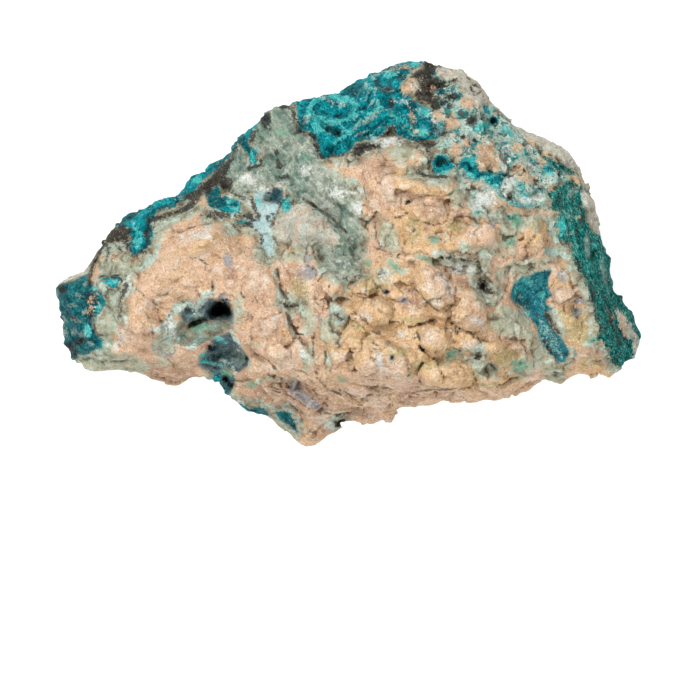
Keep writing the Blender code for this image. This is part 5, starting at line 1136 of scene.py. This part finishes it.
def stone_surface():
    """One material for the whole stone: each mineral's tones, laid over the matrix where its field says."""
    material = bpy.data.materials.new("stone_surface")
    n = Nodes(material)
    grain = n.noise(0.17, 2.0, 0.7)
    fine = n.noise(0.42, 5.0, 0.72)
    middle = n.noise(1.3, 6.0, 0.66)
    broad = n.noise(4.5, 3.0, 0.55)
    mixed = n.total((fine, 0.45), (middle, 0.35), (grain, 0.2))
    ragged = n.total((middle, 2.6), (fine, 2.2), (grain, 0.5), offset=-2.65)

    def area(name, reach=1.0, soft=0.1, shift=0.0):
        """Share of a mineral, with a ragged edge."""
        return n.step(n.total((n.field(name), 1.0), (ragged, reach), offset=shift), -soft, soft)

    def tint(name, low=0.2, high=0.8):
        """Share of a soft tint, broken up by the rock's own mottling."""
        return n.step(n.total((n.field(name), 1.0), (ragged, 0.7)), low, high)

    def over(share, strength, paint, blend="MIX"):
        """What is there, with some paint over it."""
        return n.mix(n.math("MULTIPLY", share, strength), colour, paint, blend)

    def lay(share, strength, tones, value=mixed):
        """Puts a mineral's tones over what is there."""
        return over(share, strength, n.ramp(value, tones))

    def flecks(size, level, code, strength, where=None):
        """Scattered specks of one colour."""
        share = n.step(n.noise(size, 3.0, 0.6), level, level + 0.035)
        if where is not None:
            share = n.math("MULTIPLY", share, where)
        return over(share, strength, linear(code))

    # Matrix
    colour = n.mix(tint("ochre"), n.ramp(mixed, ROSE), n.ramp(mixed, OCHRE))
    colour = lay(n.step(broad, 0.42, 0.6), 0.35, OCHRE)
    # Umber: brown patches of the rock, and painted shade on the lower faces and the sides
    colour = lay(tint("umber"), 0.85, UMBER)
    colour = lay(tint("stain"), 0.6, STAIN)
    # Cream: pale patches, and a painted highlight along the lower lump's edge
    colour = lay(tint("cream"), 0.75, CREAM)
    colour = lay(tint("lavender"), 0.7, LAVENDER)
    colour = flecks(1.3, 0.57, "#F4DFC8", 0.45)
    colour = flecks(1.1, 0.6, "#C59873", 0.5)
    colour = flecks(0.8, 0.62, "#B4B89C", 0.4)
    colour = flecks(0.45, 0.61, "#FBF1E4", 0.5)
    colour = flecks(0.5, 0.65, "#8A6243", 0.5)
    rough_sage = area("sage", 1.0, 0.35)
    colour = lay(rough_sage, 0.9, SAGE, middle)
    colour = flecks(0.9, 0.57, "#D9BC9B", 0.55, rough_sage)
    colour = lay(area("margin", 1.0, 0.3), 0.9, MARGIN, middle)

    # Quartz and the pale rock beside it
    streak = n.noise(0.45, 5.0, 0.68, n.stretched((0.0, 0.0, np.radians(STREAK_TURN)), (6.0, 1.0, 2.0)), 0.5)
    glassy = n.total((streak, 0.38), (middle, 0.4), (fine, 0.22))
    quartz = area("quartz", 1.0, 0.3)
    colour = lay(quartz, 1.0, QUARTZ_TONES, glassy)
    colour = lay(n.math("MULTIPLY", quartz, n.step(broad, 0.5, 0.58)), 0.3, BEIGE)
    colour = flecks(1.2, 0.59, "#E4EAE2", 0.4, quartz)
    colour = flecks(1.0, 0.58, "#56706A", 0.5, quartz)
    beige = area("beige", 0.8, 0.3)
    colour = lay(beige, 0.85, BEIGE)
    colour = flecks(1.6, 0.54, "#CDAF93", 0.5, beige)
    colour = flecks(1.2, 0.58, "#B3CABF", 0.5, beige)

    # Breccia: one colour for each shard, with mint and dark grains between them
    bent = n.vector("ADD", n.place, n.vector("MULTIPLY", n.noise_colour(0.7), (0.9, 0.9, 0.9)))
    shards = n.add("ShaderNodeSeparateColor")
    n.feed(shards.inputs[0], n.cells(0.62, bent))
    shard = n.ramp(shards.outputs[0], SHARDS, "CONSTANT")
    shard = n.mix(n.step(middle, 0.39, 0.59), shard, n.ramp(fine, MINT))
    shard = n.mix(n.step(fine, 0.555, 0.58), shard, linear("#1F8482"))
    shard = n.mix(n.step(grain, 0.6, 0.64), shard, linear("#45443F"))
    colour = n.mix(area("breccia", 1.2, 0.3), colour, shard)

    # Pale blue patch and the vug
    colour = lay(area("blue", 0.5), 0.95, PALE_BLUE_TONES)
    colour = lay(area("ledge", 0.5, 0.2), 0.9, LEDGE_TONES, middle)
    lining = area("lining", 0.4, 0.25)
    colour = lay(lining, 0.95, LINING)
    colour = lay(n.math("MULTIPLY", lining, tint("deep")), 0.75, DEEP_LINING)
    colour = lay(n.math("MULTIPLY", lining, tint("haze")), 0.6, HAZE)
    colour = lay(area("mint", 0.6), 0.92, MINT)

    # Fibres of the right band
    fibre = n.noise(0.3, 5.0, 0.7, n.stretched((0.0, 0.0, np.radians(FIBRE_TURN)), (3.5, 1.0, 2.5)), 1.6)
    fibre = n.total((fibre, 0.65), (fine, 0.35))
    band = area("band", 0.9)
    fibrous = n.mix(n.math("MULTIPLY", tint("haze"), 0.45), n.ramp(fibre, BAND_TONES), n.ramp(mixed, HAZE))
    squiggle = n.noise(0.8, 3.0, 0.6, n.stretched((0.0, 0.0, np.radians(FIBRE_TURN)), (1.8, 1.0, 1.5)), 1.8)
    squiggle = n.math("ABSOLUTE", n.total((squiggle, 1.0), offset=-0.5))
    fibrous = n.mix(n.math("MULTIPLY", n.step(squiggle, 0.016, 0.005), 0.5), fibrous, linear("#9AD3C6"))
    colour = n.mix(band, colour, fibrous)

    # Blue-green crusts and the blue strip
    crusty = n.total((middle, 0.45), (fine, 0.4), (grain, 0.15))
    crust = area("crust", 0.7)
    teal = n.mix(tint("deep"), n.ramp(crusty, TEAL), n.ramp(crusty, DEEP_TEAL))
    teal = n.mix(n.math("MULTIPLY", tint("haze"), 0.55), teal, n.ramp(mixed, HAZE))
    colour = n.mix(crust, colour, teal)
    colour = flecks(0.36, 0.575, "#0C2B2D", 0.6, crust)
    colour = flecks(0.3, 0.63, "#6CCBC5", 0.35, crust)
    strip = area("strip", 0.45)
    colour = lay(strip, 1.0, STRIP_TONES)
    colour = flecks(0.34, 0.5, "#A9CDBF", 0.75, n.math("MULTIPLY", strip, tint("haze")))
    colour = flecks(0.7, 0.57, "#0A3442", 0.5, strip)
    colour = flecks(0.5, 0.6, "#7DC6C0", 0.45, strip)

    # What lies over the crusts: pale rims, thin seams, painted cyan highlights, dark skin, grains, cracks,
    # and holes painted near black as painted shade
    rim = area("rim", 0.6, 0.2)
    colour = lay(rim, 0.9, BEIGE)
    colour = flecks(0.9, 0.56, "#9DBDB0", 0.55, rim)
    colour = flecks(0.55, 0.6, "#6A5D50", 0.55, rim)
    colour = flecks(0.8, 0.6, "#C9A98C", 0.5, rim)
    colour = lay(area("flow", 0.3, 0.08), 0.65, HAZE)
    # Painted highlights in light cyan on the crusts
    colour = lay(area("cyan_highlight", 0.5, 0.15), 0.8, CYAN_HIGHLIGHT_TONES)
    colour = lay(area("dark", 0.7, 0.16), 0.92, DARK)
    colour = lay(area("clast", 1.1, 0.2, 0.1), 0.85, CLAST)
    colour = lay(area("green", 0.5, 0.2), 0.8, GREEN)
    colour = lay(area("white", 0.8, 0.3), 0.85, WHITE)
    colour = over(area("crack", 0.25, 0.1), 0.85, linear("#4C3828"))
    # Painted shade: holes and the vug's mouth are painted near black
    colour = over(area("hole", 0.35, 0.15), 0.93, linear("#0A1214"))

    # Thin veins, painted highlight on the crests, painted shade in the hollows, and grit
    vein = n.math("ABSOLUTE", n.total((n.noise(1.9, 5.0, 0.6, bend=0.6), 1.0), offset=-0.5))
    vein = n.math("MULTIPLY", n.step(vein, 0.012, 0.004), n.step(fine, 0.44, 0.54))
    colour = over(vein, 0.5, linear("#5B493A"), "MULTIPLY")
    # Painted highlight: a warm white soft-light tint on crests, where the surface bulges above its smoothed
    # neighbours
    colour = over(n.step(n.field("hollow"), -0.005, -0.1), 0.3, linear("#FFF8F0"), "SOFT_LIGHT")
    # Painted shade: an olive brown multiplied into hollows, creases and broad basins, darker the more the
    # surface dips below its neighbours
    shade = n.total(
        (n.step(n.field("hollow"), 0.02, 0.13), 0.52),
        (n.step(n.field("dip"), 0.04, 0.4), 0.24),
        (n.step(n.field("basin"), 0.25, 1.3), 0.12),
    )
    colour = n.mix(n.math("MINIMUM", shade, 0.8), colour, linear("#766447"), "MULTIPLY")
    colour = flecks(0.2, 0.66, "#2B231D", 0.5)
    colour = flecks(0.26, 0.66, "#FFFBF3", 0.4)
    colour = n.mix(0.45, colour, n.ramp(grain, GRIT), "MULTIPLY")

    glassy_rock = n.math("MULTIPLY", area("quartz", 0.6, 0.2), 0.7)
    glaze = n.math("MAXIMUM", crust, n.math("MAXIMUM", strip, glassy_rock))
    roughness = n.blend(glaze, n.blend(fine, 0.75, 0.95), n.blend(fine, 0.4, 0.75))
    height = n.total((fine, 0.42), (grain, 0.18), (middle, 0.3))
    bump = n.add("ShaderNodeBump")
    bump.inputs["Strength"].default_value = 1.0
    bump.inputs["Distance"].default_value = MM
    n.feed(bump.inputs["Height"], height)
    shader = n.add("ShaderNodeBsdfPrincipled")
    n.feed(shader.inputs["Base Color"], colour)
    n.feed(shader.inputs["Roughness"], roughness)
    n.feed(shader.inputs["Normal"], bump.outputs[0])
    shader.inputs["Specular IOR Level"].default_value = 0.07
    output = n.add("ShaderNodeOutputMaterial")
    n.feed(output.inputs["Surface"], shader.outputs[0])
    return material


def add_surface():
    """The finished stone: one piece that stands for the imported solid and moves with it."""
    shape_form()
    shape_surface()
    write_fields()
    surface.data.shade_smooth()
    surface.data.materials.clear()
    surface.data.materials.append(stone_surface())
    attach(surface, "root")
    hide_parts("specimen")


def add_floor():
    """White paper just under the stone."""
    mesh = bpy.data.meshes.new("floor")
    half = 1.6
    corners = [(-half, -half, 0), (half, -half, 0), (half, half, 0), (-half, half, 0)]
    mesh.from_pydata(corners, [], [(0, 1, 2, 3)])
    floor = bpy.data.objects.new("floor", mesh)
    floor.location.z = -0.02 * MM
    bpy.context.scene.collection.objects.link(floor)
    material = bpy.data.materials.new("white_paper")
    material.use_nodes = True
    shader = material.node_tree.nodes["Principled BSDF"]
    shader.inputs["Base Color"].default_value = (0.4, 0.4, 0.4, 1.0)
    shader.inputs["Roughness"].default_value = 0.9
    shader.inputs["Specular IOR Level"].default_value = 0.1
    shader.inputs["Emission Color"].default_value = (1.0, 1.0, 1.0, 1.0)
    shader.inputs["Emission Strength"].default_value = 0.8
    mesh.materials.append(material)


def add_light(name, place, size, power):
    """A large soft panel that faces the stone."""
    lamp = bpy.data.lights.new(name, "AREA")
    lamp.size = size
    lamp.energy = power
    light = bpy.data.objects.new(name, lamp)
    light.location = place
    light.rotation_euler = (-Vector(place)).to_track_quat("-Z", "Y").to_euler()
    bpy.context.scene.collection.objects.link(light)


def add_stage():
    add_floor()
    add_light("key_panel", (-0.3, 0.4, 0.8), 0.4, 8.8)
    add_light("fill_panel", (0.2, -0.65, 0.75), 0.8, 5.8)
    world = bpy.data.worlds.new("studio")
    world.use_nodes = True
    world.node_tree.nodes["Background"].inputs["Color"].default_value = (1.0, 1.0, 1.0, 1.0)
    world.node_tree.nodes["Background"].inputs["Strength"].default_value = 0.5
    bpy.context.scene.world = world
    bpy.context.scene.view_settings.view_transform = "Standard"


def add_camera():
    """Straight down on the stone's face, from far enough away to keep its proportions."""
    distance = 1.2
    outline_height = 10.0 * MM
    frame_width = 81.4 * MM
    camera = bpy.data.cameras.new("camera")
    camera.sensor_width = 36.0
    camera.lens = camera.sensor_width * (distance - outline_height) / frame_width
    camera.clip_start = 0.05
    camera.clip_end = 10.0
    view = bpy.data.objects.new("camera", camera)
    view.location = (0.17 * MM, -11.34 * MM, distance)
    bpy.context.scene.collection.objects.link(view)
    bpy.context.scene.camera = view


add_camera()
surface = bpy.data.objects.new("specimen_surface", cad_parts["specimen"].data.copy())
bpy.context.scene.collection.objects.link(surface)
add_surface()
add_stage()
